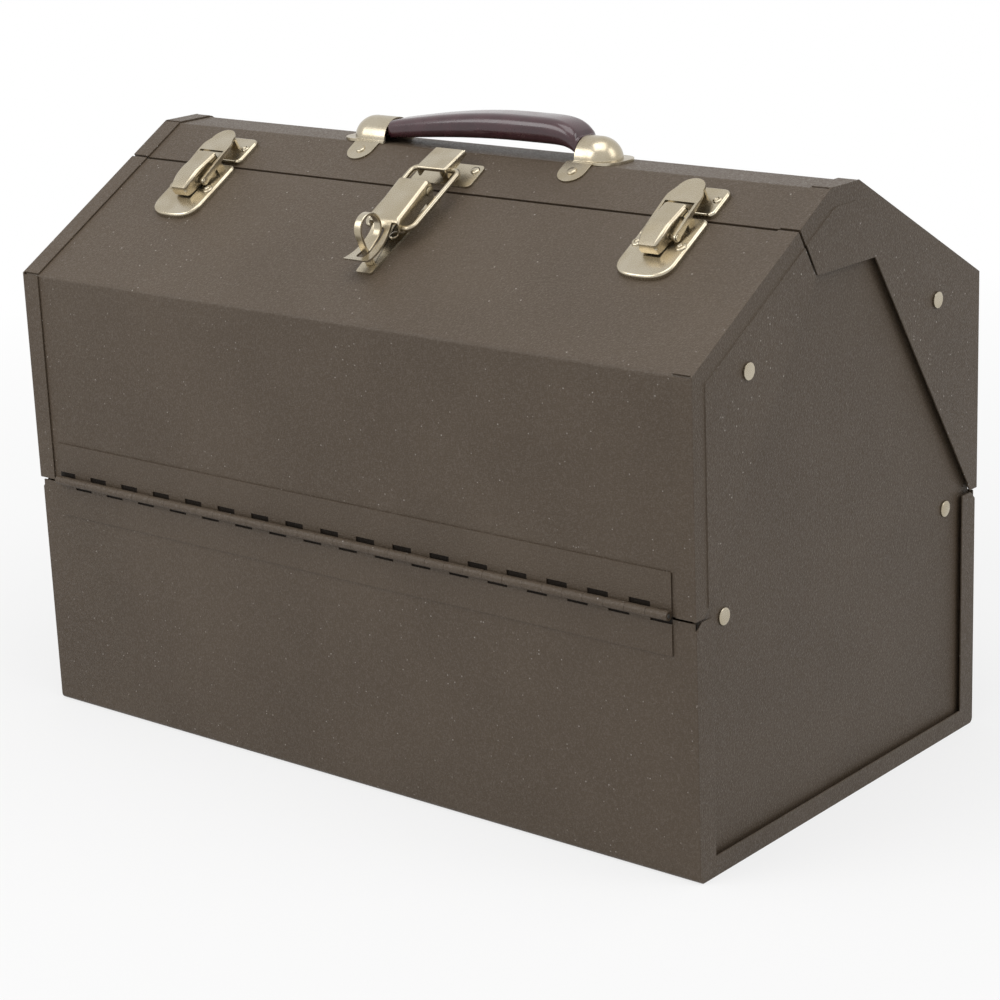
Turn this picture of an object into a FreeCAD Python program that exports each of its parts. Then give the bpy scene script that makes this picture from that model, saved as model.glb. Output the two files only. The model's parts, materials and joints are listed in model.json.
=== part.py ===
import FreeCAD, Part
import math
import os
import re

import Sketcher
from FreeCAD import Placement, Rotation, Vector

# Cantilever toolbox: a sheet-steel case whose two lids carry a tray each.
# Millimetres, +Z up, front towards -Y, origin under the middle of the case.
# Each tray hangs level between a lid and a pair of arms, a parallelogram.
doc = FreeCAD.newDocument("cantilever_toolbox")

# Driving sizes, in millimetres and degrees.
sizes = {
    # case and lids
    "case_wide": 462, "case_deep": 262, "gauge": 1.0, "bend": 3,
    "base_drop": 2.6, "lid_crack": 1.4, "knee_height": 256.5,
    "slope": 30, "top_flat": 25,
    "flange_wide": 13.5, "flange_high": 10.8, "flange_chamfer": 4.4,
    "seam_at": 104.6, "seam_gap": 1.5, "seam_lip": 10,
    "lid_over": 0.5, "lid_lap": 12, "lid_slit": 0.5,
    "crease": 10, "emboss": 0.5, "crack_deep": 28, "diag_foot": 124.8,
    # end plates of the base
    "plate_inset": 3.2, "plate_lap": 12, "plate_lip": 10, "plate_step": 1.5,
    # piano hinges
    "leaf_wide": 21.3, "leaf_gauge": 0.8, "knuckle": 12.7, "knuckles": 17,
    "knuckle_radius": 2.8, "knuckle_gap": 0.15, "knuckle_relief": 0.5,
    "hinge_start": -214.7, "hinge_pin_radius": 1.15, "hinge_height": 138.0,
    "hinge_stand": 0.05, "running_fit": 0.05,
    # tray linkage
    "lid_pivot_out": 87, "lid_pivot_drop": 9.0,
    "base_pivot_out": 104, "base_pivot_drop": 6.7,
    "arm_wide": 13, "arm_gauge": 1.6, "arm_gap": 0.3, "tray_gap": 0.4,
    "pivot_radius": 2.6, "pivot_fit": 0.2, "pivot_head": 4.5,
    "pivot_head_high": 1.2, "pivot_shoulder": 4, "pivot_tail": 4,
    "tail_gap": 0.1,
    # trays
    "tray_out": 101, "tray_in": 3, "tray_deep": 48, "tray_over": 2.9,
    "tray_gauge": 0.9, "tray_hem": 6, "tray_lip": 9,
    # draw latches: _up is the way up the slope from the knee, _off the height off it
    "latch_at": 163, "latch_wide": 34, "latch_low": 58.5, "latch_high": 103.5,
    "latch_rise": 3.2, "latch_corner": 3, "latch_edge": 1.4,
    "strike_low": 106.6, "strike_high": 127, "strike_rise": 3.0,
    "nose_at": 120, "nose_gauge": 1.2, "nose_wide": 10, "nose_top": 6.5,
    "lever_pivot_up": 99.5, "lever_pivot_off": 6.0, "lever_wide": 14,
    "lever_gauge": 1.0, "lever_pin_radius": 1.3, "lever_boss": 2.4,
    "latch_ear_gap": 0.4, "latch_ear_gauge": 1.2,
    "tongue_pivot_up": 84.5, "tongue_pivot_off": 6.2, "tongue_pin_radius": 1.2,
    "tongue_leg_in": 9, "tongue_leg_gauge": 1.5, "tongue_leg_end": 2.2,
    "tongue_low": 106.5, "tongue_under": 8.6, "tongue_gauge": 1.4,
    "tongue_head": 8, "tongue_tip": 124.5, "tongue_lip": 0.6,
    "small_rivet_radius": 1.6, "small_rivet_head": 2.6,
    "small_rivet_high": 1.0, "small_rivet_tail": 2.4,
    "latch_rivet_out": 13.2, "latch_rivet_up": 81.5, "strike_rivet_up": 118,
    # padlock hasp
    "hasp_wide": 18, "hasp_low": 34, "hasp_high": 99, "hasp_gauge": 1.5,
    "hasp_pivot_up": 92, "hasp_pivot_off": 11, "hasp_pin_radius": 1.6,
    "hasp_boss": 2.6, "hasp_ear_out": 8.8, "hasp_ear_gauge": 1.2,
    "hasp_rivet_low": 66, "hasp_rivet_high": 80,
    "draw_wide": 20.6, "draw_gauge": 1.2, "draw_top_up": 95.5,
    "draw_top_off": 16.5, "draw_low_up": 65.5, "draw_low_off": 14.9,
    "bail_pivot_up": 65, "bail_pivot_off": 8.4, "bail_radius": 1.6,
    "bail_out": 16, "bail_bend": 4, "bail_boss": 2.7, "bail_end": 8.2,
    "tail_tip_up": 35, "tail_tip_off": 11.2, "tail_curve": 32,
    "tail_root_wide": 11.8, "tail_tip_wide": 16.4,
    "slot_low": 38.5, "slot_high": 60.5, "slot_wide": 6,
    "hook_low": 108, "hook_high": 127, "hook_bar_up": 112.5,
    "hook_top_low": 12.8, "hook_top_high": 11.2,
    "hook_under_low": 6.6, "hook_under_high": 7.9,
    "keeper_low": 109, "keeper_high": 126.5, "keeper_wide": 42,
    "keeper_gauge": 1.2, "keeper_rivet_out": 16.5, "keeper_rivet_up": 122,
    "upstand_at": 118, "upstand_wide": 12, "upstand_top": 5,
    "eye_up": 49.5, "eye_off": 18, "eye_radius": 8.5, "eye_hole": 4.8,
    "eye_gauge": 3, "eye_stem_low": 42.5, "eye_stem_high": 50.5,
    # carrying handle
    "handle_at": 2.5, "cap_at": 73.9, "mouth_right": 4, "mouth_left": 11.4,
    "cap_ball": 4.3, "cap_radius": 12.3, "cap_foot": 0.8, "bead_out": 0.7,
    "bead_high": 1.6, "bead_end": 4.5, "bead_corner": 9,
    "pocket_half": 8, "pocket_high": 7.3, "pocket_long": 5.5,
    "ear_wide": 17, "ear_low": 121.7, "ear_rivet_up": 129.7,
    "strap_wide": 13, "strap_gauge": 2, "strap_gap": 0.3, "strap_rise": 2.7,
    "strap_ramp": 5, "strap_crown": 10.7, "strap_end_gap": 0.5,
    "crown_left": 20, "crown_right": 62, "grip_gap": 0.4,
    "grip_wide": 22, "grip_end_wide": 19, "grip_corner": 0.42,
    "grip_left_under": 2.4, "grip_left_high": 9.8, "grip_crown": 30,
    "grip_crown_under": 7.6, "grip_crown_high": 14.1, "grip_fall": 8.5,
    "grip_curl": 6.1,
}

# Sizes that follow from the driving ones.
worked = {
    "half_wide": "case_wide/2",
    "half_deep": "case_deep/2",
    "base_top": "hinge_height-base_drop",
    "lid_bottom": "base_top+lid_crack",
    "base_pivot_height": "hinge_height-base_pivot_drop",
    "tray_rim": "knee_height+tray_over",
    "tray_floor": "tray_rim-tray_deep",
    "lid_pivot_height": "tray_rim-lid_pivot_drop",
    "top_height": "knee_height+(half_deep-top_flat/2)*tan(slope)",
    "slope_long": "(half_deep-top_flat/2)/cos(slope)",
    "knee_tangent": "bend*tan(45-slope/2)",
    "top_tangent": "bend*tan(slope/2)",
    "knee_up": "gauge*(1/cos(slope)-tan(slope))",
    "top_spread": "gauge*tan(slope/2)",
    "inner_bend": "bend-gauge",
    "seam_front": "seam_at-seam_gap/2",
    "seam_rear": "seam_at+seam_gap/2",
    "lid_half": "half_wide+lid_over",
    "lid_inner": "lid_half-gauge",
    "plate_half": "half_wide-plate_inset",
    "plate_inner": "plate_half-gauge",
    "arm_outer": "plate_inner-arm_gap",
    "arm_inner": "arm_outer-arm_gauge",
    "tray_half": "arm_inner-tray_gap",
    "tray_inner": "tray_half-tray_gauge",
    "crack_y": "half_deep-seam_front*cos(slope)-crack_deep*sin(slope)",
    "crack_z": "knee_height+seam_front*sin(slope)-crack_deep*cos(slope)",
    "diag_slope": "(crack_z-lid_bottom)/(diag_foot-crack_y)",
    "diag_lift": "plate_lap*sqrt(1+diag_slope*diag_slope)",
    "crease_out": "half_deep+gauge-crease",
    "crease_foot": "lid_bottom+(diag_foot-crease_out)*diag_slope",
    "plate_high": "crack_z+plate_lap",
    "plate_top_y": "diag_foot-(plate_high-lid_bottom-diag_lift)/diag_slope",
    "plate_side": "half_deep-gauge-plate_step",
    "plate_side_z": "lid_bottom+(diag_foot-plate_side)*diag_slope+diag_lift",
    "hinge_out": "half_deep+knuckle_radius+hinge_stand",
    "hinge_long": "2*knuckle*knuckles",
    "pin_hole": "hinge_pin_radius+running_fit",
    "tray_pivot_out": "lid_pivot_out+base_pivot_out-hinge_out",
    "tray_pivot_height": "lid_pivot_height+base_pivot_height-hinge_height",
    "arm_reach": "base_pivot_out-tray_pivot_out",
    "arm_rise": "tray_pivot_height-base_pivot_height",
    "arm_long": "sqrt(arm_reach*arm_reach+arm_rise*arm_rise)",
    "arm_lean": "atan(arm_reach/arm_rise)",
    "pivot_hole": "pivot_radius+running_fit",
    "open_hole": "pivot_radius+pivot_fit",
    "small_hole": "small_rivet_radius+running_fit",
    "latch_ear_in": "lever_wide/2+latch_ear_gap",
    "latch_ear_out": "latch_ear_in+latch_ear_gauge",
    "leg_out": "tongue_leg_in+tongue_leg_gauge",
    "tongue_top": "tongue_under+tongue_gauge",
    "draw_half": "draw_wide/2",
    "draw_in": "draw_half-draw_gauge",
    "mouth_right_at": "handle_at+cap_at-mouth_right",
    "mouth_left_at": "handle_at-cap_at+mouth_left",
    "strap_half": "cap_at+cap_ball+pocket_long-strap_end_gap",
    "strap_low": "top_height+strap_gap",
    "grip_left": "mouth_left_at+grip_gap",
    "grip_right": "mouth_right_at-grip_gap",
    "hasp_ear_in": "hasp_ear_out-hasp_ear_gauge",
}

sheet = doc.addObject("Spreadsheet::Sheet", "Sizes")
for row, (alias, number) in enumerate(sizes.items(), 1):
    sheet.set(f"A{row}", alias)
    sheet.set(f"B{row}", str(number))
    sheet.setAlias(f"B{row}", alias)
doc.recompute()


def cells(formula):
    """A formula in plain names, written out over the sheet's cells."""
    def swap(found):
        word = found.group()
        if word in sizes:
            return "Sizes." + word
        if word in worked:
            return "(" + cells(worked[word]) + ")"
        return word
    return re.sub(r"[a-z][a-z_0-9]*", swap, str(formula))


def value(formula):
    """What a formula comes to now."""
    return float(sheet.evalExpression(cells(formula)))


def bind(thing, place, formula):
    """Let a property of a feature follow a formula."""
    thing.setExpression(place, cells(formula))


def minus(formula):
    return f"-({formula})"


def slope_point(along, off):
    """The Y and Z of a spot by its way up the front slope and its height off it."""
    y = f"({along})*cos(slope)-half_deep-({off})*sin(slope)"
    z = f"knee_height+({along})*sin(slope)+({off})*cos(slope)"
    return y, z


def rear_point(along, off):
    """The same spot on the rear slope."""
    y, z = slope_point(along, off)
    return minus(y), z


def start_at(side, inner, outer):
    """Where a wall between two distances from the middle starts on one side."""
    return inner if side > 0 else minus(outer)


def pin_point(sketch, shape, end, across, up):
    """Hold one point of a sketch at two formulas."""
    for kind, formula, axis in (("DistanceX", across, -2), ("DistanceY", up, -1)):
        if str(formula) == "0":
            sketch.addConstraint(Sketcher.Constraint("PointOnObject", shape, end, axis))
            continue
        rule = Sketcher.Constraint(kind, -1, 1, shape, end, value(formula))
        bind(sketch, f"Constraints[{sketch.addConstraint(rule)}]", formula)


def add_ring(sketch, across, up, radius):
    """A full circle."""
    middle = Vector(value(across), value(up), 0)
    circle = Part.Circle(middle, Vector(0, 0, 1), value(radius))
    shape = sketch.addGeometry(circle, False)
    rule = Sketcher.Constraint("Radius", shape, value(radius))
    bind(sketch, f"Constraints[{sketch.addConstraint(rule)}]", radius)
    pin_point(sketch, shape, 3, across, up)


def arc_between(begin, finish, radius, turn):
    """The short arc from one point to another, turning left (1) or right (-1)."""
    chord = finish.sub(begin)
    reach = math.sqrt(max(radius ** 2 - (chord.Length / 2) ** 2, 0))
    side = Vector(-chord.y, chord.x, 0).normalize() * (turn * reach)
    middle = (begin + finish) * 0.5 + side
    angles = []
    for spot in (begin, finish):
        angles.append(math.atan2(spot.y - middle.y, spot.x - middle.x))
    circle = Part.Circle(middle, Vector(0, 0, 1), radius)
    if turn > 0:
        return Part.ArcOfCircle(circle, angles[0], angles[1])
    return Part.ArcOfCircle(circle, angles[1], angles[0])


def add_outline(sketch, points, closed=True):
    """Lines through points; a point with (radius, turn) is reached by an arc."""
    spots = [Vector(value(p[0]), value(p[1]), 0) for p in points]
    count = len(points) if closed else len(points) - 1
    shapes = []
    for i in range(count):
        goal = points[(i + 1) % len(points)]
        begin, finish = spots[i], spots[(i + 1) % len(points)]
        if len(goal) == 2:
            shapes.append((sketch.addGeometry(Part.LineSegment(begin, finish), False), 1, 2))
            continue
        radius, turn = goal[2:]
        arc = sketch.addGeometry(arc_between(begin, finish, value(radius), turn), False)
        shapes.append((arc, 1, 2) if turn > 0 else (arc, 2, 1))
        rule = Sketcher.Constraint("Radius", arc, value(radius))
        bind(sketch, f"Constraints[{sketch.addConstraint(rule)}]", radius)
    for i, (shape, first, last) in enumerate(shapes):
        pin_point(sketch, shape, first, points[i][0], points[i][1])
        if closed or i < count - 1:
            after, after_first, _ = shapes[(i + 1) % count]
            joint = Sketcher.Constraint("Coincident", shape, last, after, after_first)
            sketch.addConstraint(joint)
    if not closed:
        shape, _, last = shapes[-1]
        pin_point(sketch, shape, last, points[-1][0], points[-1][1])


def sketch_on(body, plane, height, loops, closed=True):
    """A sketch on one of the body's planes, or along the front or rear slope."""
    role = {"front_slope": "XY_Plane", "rear_slope": "XY_Plane"}.get(plane, plane)
    sketch = body.newObject("Sketcher::SketchObject", "Outline")
    support = next(p for p in body.Origin.OriginFeatures if p.Role == role)
    sketch.AttachmentSupport = (support, [""])
    sketch.MapMode = "FlatFace"
    if plane == role:
        bind(sketch, "AttachmentOffset.Base.z", height)
    else:
        turn = 1 if plane == "front_slope" else -1
        sketch.AttachmentOffset = Placement(Vector(), Rotation(Vector(turn, 0, 0), 1))
        y, z = slope_point("0", height)
        bind(sketch, "AttachmentOffset.Base.y", y if turn > 0 else minus(y))
        bind(sketch, "AttachmentOffset.Base.z", z)
        bind(sketch, "AttachmentOffset.Rotation.Angle", "slope")
    for loop in loops:
        if loop[0] == "ring":
            add_ring(sketch, *loop[1:])
        else:
            add_outline(sketch, loop, closed)
    return sketch


def new_body(label):
    body = doc.addObject("PartDesign::Body", label)
    body.Label = label
    body.AllowCompound = True
    return body


def pad(body, plane, start, length, *loops):
    """Material from a height on a plane, along its normal."""
    feature_sketch = sketch_on(body, plane, start, loops)
    feature = body.newObject("PartDesign::Pad", "Pad")
    feature.Profile = feature_sketch
    bind(feature, "Length", length)
    return feature


def cut(body, plane, start, length, *loops):
    """A pocket from a height on a plane, along its normal."""
    feature_sketch = sketch_on(body, plane, start, loops)
    feature = body.newObject("PartDesign::Pocket", "Pocket")
    feature.Profile = feature_sketch
    feature.Reversed = True
    bind(feature, "Length", length)
    return feature


def ease_rim(body, height, size):
    """Chamfer the edges of the body so far that lie flat at a local height."""
    doc.recompute()
    base = body.Tip
    level = value(height)
    names = []
    for number, edge in enumerate(base.Shape.Edges, 1):
        box = edge.BoundBox
        if max(abs(box.ZMin - level), abs(box.ZMax - level)) < same_place:
            names.append(f"Edge{number}")
    feature = body.newObject("PartDesign::Chamfer", "Rim")
    feature.Base = (base, names)
    bind(feature, "Size", size)


def lay_on_slope(body, across="0"):
    """Turn a body so that its Y runs up the front slope and its Z stands off it."""
    body.Placement = Placement(Vector(), Rotation(Vector(1, 0, 0), 1))
    bind(body, "Placement.Base.x", across)
    bind(body, "Placement.Base.y", "-half_deep")
    bind(body, "Placement.Base.z", "knee_height")
    bind(body, "Placement.Rotation.Angle", "slope")


def turn_about(body):
    """Face a body that was drawn at the front to the rear."""
    body.Placement = Placement(Vector(), Rotation(Vector(0, 0, 1), 180))


def box_loop(left, low, right, high):
    return [(left, low), (right, low), (right, high), (left, high)]


def rounded_loop(left, low, right, high, corner):
    """A rectangle with rounded corners, anticlockwise."""
    return [
        (f"{left}+{corner}", low, corner, 1), (f"{right}-{corner}", low),
        (right, f"{low}+{corner}", corner, 1), (right, f"{high}-{corner}"),
        (f"{right}-{corner}", high, corner, 1), (f"{left}+{corner}", high),
        (left, f"{high}-{corner}", corner, 1), (left, f"{low}+{corner}"),
    ]


def many_sided(across, up, radius, sides=12):
    """A regular outline that stands for a small circle, its corners at the radius."""
    points = []
    for corner in range(sides):
        turn = 360 * (corner + 0.5) / sides
        points.append((f"{across}+({radius})*cos({turn})", f"{up}+({radius})*sin({turn})"))
    return points


def bore(across, up, radius, sides=12):
    """A many-sided hole that a pin of the radius just passes."""
    return many_sided(across, up, f"({radius})/cos({180 / sides})", sides)


SIDES = (("right", 1), ("left", -1))
same_place = 1e-4


# Base: one sheet bent up front and rear, with flanges turned at its ends.
def base_wrap():
    body = new_body("base_wrap")
    inner = "half_deep-gauge"
    sheet_section = [
        (minus("half_deep"), "base_top"), (minus("half_deep"), "bend"),
        (minus("half_deep-bend"), "0", "bend", 1), ("half_deep-bend", "0"),
        ("half_deep", "bend", "bend", 1), ("half_deep", "base_top"),
        (inner, "base_top"), (inner, "bend"),
        ("half_deep-bend", "gauge", "inner_bend", -1), (minus("half_deep-bend"), "gauge"),
        (minus(inner), "bend", "inner_bend", -1), (minus(inner), "base_top"),
    ]
    pad(body, "YZ_Plane", minus("half_wide-gauge"), "2*(half_wide-gauge)", sheet_section)
    edge = "half_deep-flange_wide"
    flange = [
        (minus("half_deep"), "base_top-flange_chamfer"), (minus("half_deep"), "bend"),
        (minus("half_deep-bend"), "0", "bend", 1), ("half_deep-bend", "0"),
        ("half_deep", "bend", "bend", 1), ("half_deep", "base_top-flange_chamfer"),
        ("half_deep-flange_chamfer", "base_top"), (edge, "base_top"),
        (edge, "flange_high"), (minus(edge), "flange_high"),
        (minus(edge), "base_top"), (minus("half_deep-flange_chamfer"), "base_top"),
    ]
    for _, side in SIDES:
        pad(body, "YZ_Plane", start_at(side, "half_wide-gauge", "half_wide"), "gauge", flange)
    return body


# End plates of the base: house-shaped, seated inside the wrap by turned lips.
def base_end(name, side):
    body = new_body("base_end_" + name)
    inner = "half_deep-gauge"
    half = [
        (inner, "gauge+bend"), (inner, "base_top-gauge"), ("plate_side", "base_top-gauge"),
        ("plate_side", "plate_side_z"), ("plate_top_y", "plate_high"),
    ]
    outline = [(minus(inner + "-bend"), "gauge"), (inner + "-bend", "gauge")] + half
    outline += [(minus(y), z) for y, z in reversed(half)]
    pivots = [bore(y, "base_pivot_height", "pivot_hole")
              for y in ("base_pivot_out", minus("base_pivot_out"))]
    pad(body, "YZ_Plane", start_at(side, "plate_inner", "plate_half"), "gauge", outline, *pivots)
    lip = start_at(side, "plate_inner-plate_lip", "plate_inner")
    for left, right in ((minus(inner), minus(inner + "-gauge")), (inner + "-gauge", inner)):
        pad(body, "YZ_Plane", lip, "plate_lip",
            box_loop(left, "gauge+bend", right, "base_top-gauge"))
    foot = inner + "-2*bend"
    pad(body, "YZ_Plane", lip, "plate_lip", box_loop(minus(foot), "gauge", foot, "2*gauge"))
    return body


# Piano hinges: two leaves with alternate knuckles on one pin.
def hinge_leaf(label, low, high, first_notch, rear):
    body = new_body(label)
    plate = box_loop(minus("half_deep+leaf_gauge"), low, minus("half_deep"), high)
    pad(body, "YZ_Plane", "hinge_start", "hinge_long", plate)
    barrel = many_sided(minus("hinge_out"), "hinge_height", "knuckle_radius", 10)
    pad(body, "YZ_Plane", "hinge_start", "hinge_long", barrel)
    cut(body, "YZ_Plane", "hinge_start-gauge", "hinge_long+2*gauge",
        bore(minus("hinge_out"), "hinge_height", "pin_hole", 8))
    room = "(knuckle_radius+knuckle_relief)"
    window = box_loop(f"-(hinge_out+{room})", f"hinge_height-{room}",
                      minus("half_deep"), f"hinge_height+{room}")
    notch = cut(body, "YZ_Plane", f"{first_notch}-knuckle_gap", "knuckle+2*knuckle_gap", window)
    row = body.newObject("PartDesign::LinearPattern", "Notches")
    row.Originals = [notch]
    row.Direction = (notch.Profile[0], ["N_Axis"])
    bind(row, "Length", "2*knuckle*(knuckles-1)")
    bind(row, "Occurrences", "knuckles")
    body.Tip = row
    if rear:
        turn_about(body)
    return body


def hinge_pin(label, rear):
    body = new_body(label)
    wire = many_sided(minus("hinge_out"), "hinge_height", "hinge_pin_radius", 8)
    pad(body, "YZ_Plane", "hinge_start", "hinge_long", wire)
    if rear:
        turn_about(body)
    return body


# Holes in the lids for the rivets of the fittings.
def latch_spots(along):
    spots = []
    for middle in ("latch_at", minus("latch_at")):
        spots += [(f"{middle}+latch_rivet_out", along), (f"{middle}-latch_rivet_out", along)]
    return spots


HASP_SPOTS = [("0", "hasp_rivet_low"), ("0", "hasp_rivet_high")]
KEEPER_SPOTS = [("keeper_rivet_out", "keeper_rivet_up"), (minus("keeper_rivet_out"), "keeper_rivet_up")]
EAR_SPOTS = [("handle_at+cap_at", "ear_rivet_up"), ("handle_at-cap_at", "ear_rivet_up")]


def small_holes(spots):
    return [bore(across, along, "small_hole", 8) for across, along in spots]


# Front lid: front wall and slope of one sheet, turned in at the seam.
def front_lid_wrap():
    body = new_body("front_lid_wrap")
    front, back = minus("half_deep"), minus("half_deep-gauge")
    section = [
        (front, "lid_bottom"), (front, "knee_height-knee_tangent"),
        (*slope_point("knee_tangent", "0"), "bend", -1), slope_point("seam_front", "0"),
        slope_point("seam_front", "-seam_lip"), slope_point("seam_front-gauge", "-seam_lip"),
        slope_point("seam_front-gauge", "-gauge"), slope_point("knee_tangent", "-gauge"),
        (back, "knee_height-knee_tangent", "inner_bend", 1), (back, "lid_bottom"),
    ]
    pad(body, "YZ_Plane", minus("lid_inner"), "2*lid_inner", section)
    spots = latch_spots("latch_rivet_up") + HASP_SPOTS
    cut(body, "front_slope", "-2*gauge", "3*gauge", *small_holes(spots))
    return body


# Rear lid: rear wall, rear slope, top and the strip above the seam.
def rear_lid_wrap():
    body = new_body("rear_lid_wrap")
    wall, inside = "half_deep", "half_deep-gauge"
    flat, near_top = "top_flat/2-top_tangent", "slope_long-top_tangent"
    section = [
        slope_point("seam_rear", "-seam_lip"), slope_point("seam_rear", "0"),
        slope_point(near_top, "0"), (minus(flat), "top_height", "bend", -1),
        (flat, "top_height"), (*rear_point(near_top, "0"), "bend", -1),
        rear_point("knee_tangent", "0"), (wall, "knee_height-knee_tangent", "bend", -1),
        (wall, "lid_bottom"), (inside, "lid_bottom"), (inside, "knee_height-knee_tangent"),
        (*rear_point("knee_tangent", "-gauge"), "inner_bend", 1),
        rear_point(near_top, "-gauge"), (flat, "top_height-gauge", "inner_bend", 1),
        (minus(flat), "top_height-gauge"), (*slope_point(near_top, "-gauge"), "inner_bend", 1),
        slope_point("seam_rear+gauge", "-gauge"), slope_point("seam_rear+gauge", "-seam_lip"),
    ]
    pad(body, "YZ_Plane", minus("lid_inner"), "2*lid_inner", section)
    spots = latch_spots("strike_rivet_up") + KEEPER_SPOTS + EAR_SPOTS
    cut(body, "front_slope", "-2*gauge", "3*gauge", *small_holes(spots))
    rear_spots = [(across, minus(along)) for across, along in EAR_SPOTS]
    cut(body, "rear_slope", "-2*gauge", "3*gauge", *small_holes(rear_spots))
    return body


# End panels of the lids: a plate with its edges lapped over the sheets outside
# and its field pressed out inside a border.
def lid_end_panel(label, side, outline, field, laps, pivot_y):
    body = new_body(label)
    hole = bore(pivot_y, "lid_pivot_height", "pivot_hole")
    pad(body, "YZ_Plane", start_at(side, "lid_inner", "lid_half"), "gauge", outline)
    for lap in laps:
        pad(body, "YZ_Plane", start_at(side, "lid_half-lid_lap", "lid_inner"),
            "lid_lap-gauge", lap)
    pad(body, "YZ_Plane", start_at(side, "lid_half", "lid_half+emboss"), "emboss", field)
    cut(body, "YZ_Plane", start_at(side, "lid_inner", "lid_inner+emboss"), "emboss", field)
    cut(body, "YZ_Plane", start_at(side, "lid_inner", "lid_half+emboss"), "gauge+emboss", hole)
    return body


def front_lid_end(name, side):
    out = "half_deep+gauge"
    tail = [slope_point("seam_front", "-crack_deep"), (minus("diag_foot"), "lid_bottom")]
    knee = (minus(out), "knee_height+knee_up")
    outline = [(minus(out), "lid_bottom"), knee, slope_point("seam_front", "gauge")] + tail
    in_knee = "knee_height-(crease-gauge)*(1-sin(slope))/cos(slope)"
    field = [
        (minus("crease_out"), "crease_foot"), (minus("crease_out"), in_knee),
        slope_point("seam_front", "gauge-crease"), tail[0],
    ]
    laps = [
        box_loop(minus(out), "lid_bottom", minus("half_deep"), "knee_height-lid_slit"),
        slope_lap(slope_point, "lid_slit", "seam_front"),
    ]
    return lid_end_panel(f"front_lid_end_{name}", side, outline, field, laps,
                         minus("lid_pivot_out"))


def slope_lap(point, low, high):
    """The section of a lap that lies on a slope between two distances."""
    return [point(low, "0"), point(high, "0"), point(high, "gauge"), point(low, "gauge")]


def rear_lid_end(name, side):
    out = "half_deep+gauge"
    tail = [(out, "lid_bottom"), ("diag_foot", "lid_bottom"), ("crack_y", "crack_z"),
            slope_point("seam_rear", "-crack_deep")]
    top, spread = "top_height+gauge", "top_flat/2+top_spread"
    outline = [
        slope_point("seam_rear", "gauge"), (minus(spread), top), (spread, top),
        (out, "knee_height+knee_up"),
    ] + tail
    in_knee = "knee_height-(crease-gauge)*(1-sin(slope))/cos(slope)"
    in_top, in_flat = "top_height+gauge-crease", "top_flat/2-(crease-gauge)*tan(slope/2)"
    field = [
        slope_point("seam_rear", "gauge-crease"), (minus(in_flat), in_top), (in_flat, in_top),
        ("crease_out", in_knee), ("crease_out", "crease_foot"),
    ] + tail[2:]
    flat = "top_flat/2-lid_slit"
    laps = [
        box_loop("half_deep", "lid_bottom", out, "knee_height-lid_slit"),
        slope_lap(rear_point, "lid_slit", "slope_long-lid_slit"),
        box_loop(minus(flat), "top_height", flat, top),
        slope_lap(slope_point, "seam_rear", "slope_long-lid_slit"),
    ]
    return lid_end_panel(f"rear_lid_end_{name}", side, outline, field, laps, "lid_pivot_out")


# Pivots of the linkage: stepped rivets along X, one step per pad.
def stepped_rivets(label, spots, steps):
    body = new_body(label)
    for _, side in SIDES:
        for inner, outer, radius in steps:
            pad(body, "YZ_Plane", start_at(side, inner, outer), f"({outer})-({inner})",
                *[many_sided(y, z, radius) for y, z in spots])
    return body


def linkage_rivets():
    head = "pivot_head"
    base_spots = [(y, "base_pivot_height") for y in ("base_pivot_out", minus("base_pivot_out"))]
    made = [stepped_rivets("arm_pivot_rivets", base_spots, [
        ("arm_inner-tail_gap-pivot_head_high", "arm_inner-tail_gap", "pivot_tail"),
        ("arm_inner-tail_gap", "plate_half", "pivot_radius"),
        ("plate_half", "plate_half+pivot_head_high", head),
    ])]
    for name, turn in (("front", minus), ("rear", str)):
        lid_spot = [(turn("lid_pivot_out"), "lid_pivot_height")]
        made.append(stepped_rivets(f"{name}_lid_tray_pivots", lid_spot, [
            ("tray_inner-tail_gap-pivot_head_high", "tray_inner-tail_gap", "pivot_tail"),
            ("tray_inner-tail_gap", "tray_half+tail_gap", "pivot_radius"),
            ("tray_half+tail_gap", "lid_inner+emboss", "pivot_shoulder"),
            ("lid_inner+emboss", "lid_half+emboss", "pivot_radius"),
            ("lid_half+emboss", "lid_half+emboss+pivot_head_high", head),
        ]))
        tray_spot = [(turn("tray_pivot_out"), "tray_pivot_height")]
        made.append(stepped_rivets(f"{name}_tray_arm_pivots", tray_spot, [
            ("tray_inner-pivot_head_high", "tray_inner", "pivot_tail"),
            ("tray_inner", "arm_outer-tail_gap", "pivot_radius"),
        ]))
    return made


# Trays: a bent pan with hemmed rims, closed by an end plate on each side.
def tray_pan(label, rear):
    body = new_body(label)
    gauge = "tray_gauge"
    front, back = minus("tray_out"), minus("tray_in")
    inner = "bend-tray_gauge"
    section = [
        (front, "tray_rim"), (front, "tray_floor+bend"),
        (f"{front}+bend", "tray_floor", "bend", 1), (f"{back}-bend", "tray_floor"),
        (back, "tray_floor+bend", "bend", 1), (back, "tray_rim"),
        (f"{back}-2*{gauge}", "tray_rim"), (f"{back}-2*{gauge}", "tray_rim-tray_hem"),
        (f"{back}-{gauge}", "tray_rim-tray_hem"), (f"{back}-{gauge}", "tray_floor+bend"),
        (f"{back}-bend", f"tray_floor+{gauge}", inner, -1),
        (f"{front}+bend", f"tray_floor+{gauge}"),
        (f"{front}+{gauge}", "tray_floor+bend", inner, -1),
        (f"{front}+{gauge}", "tray_rim-tray_hem"), (f"{front}+2*{gauge}", "tray_rim-tray_hem"),
        (f"{front}+2*{gauge}", "tray_rim"),
    ]
    pad(body, "YZ_Plane", minus("tray_inner"), "2*tray_inner", section)
    if rear:
        turn_about(body)
    return body


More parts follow.
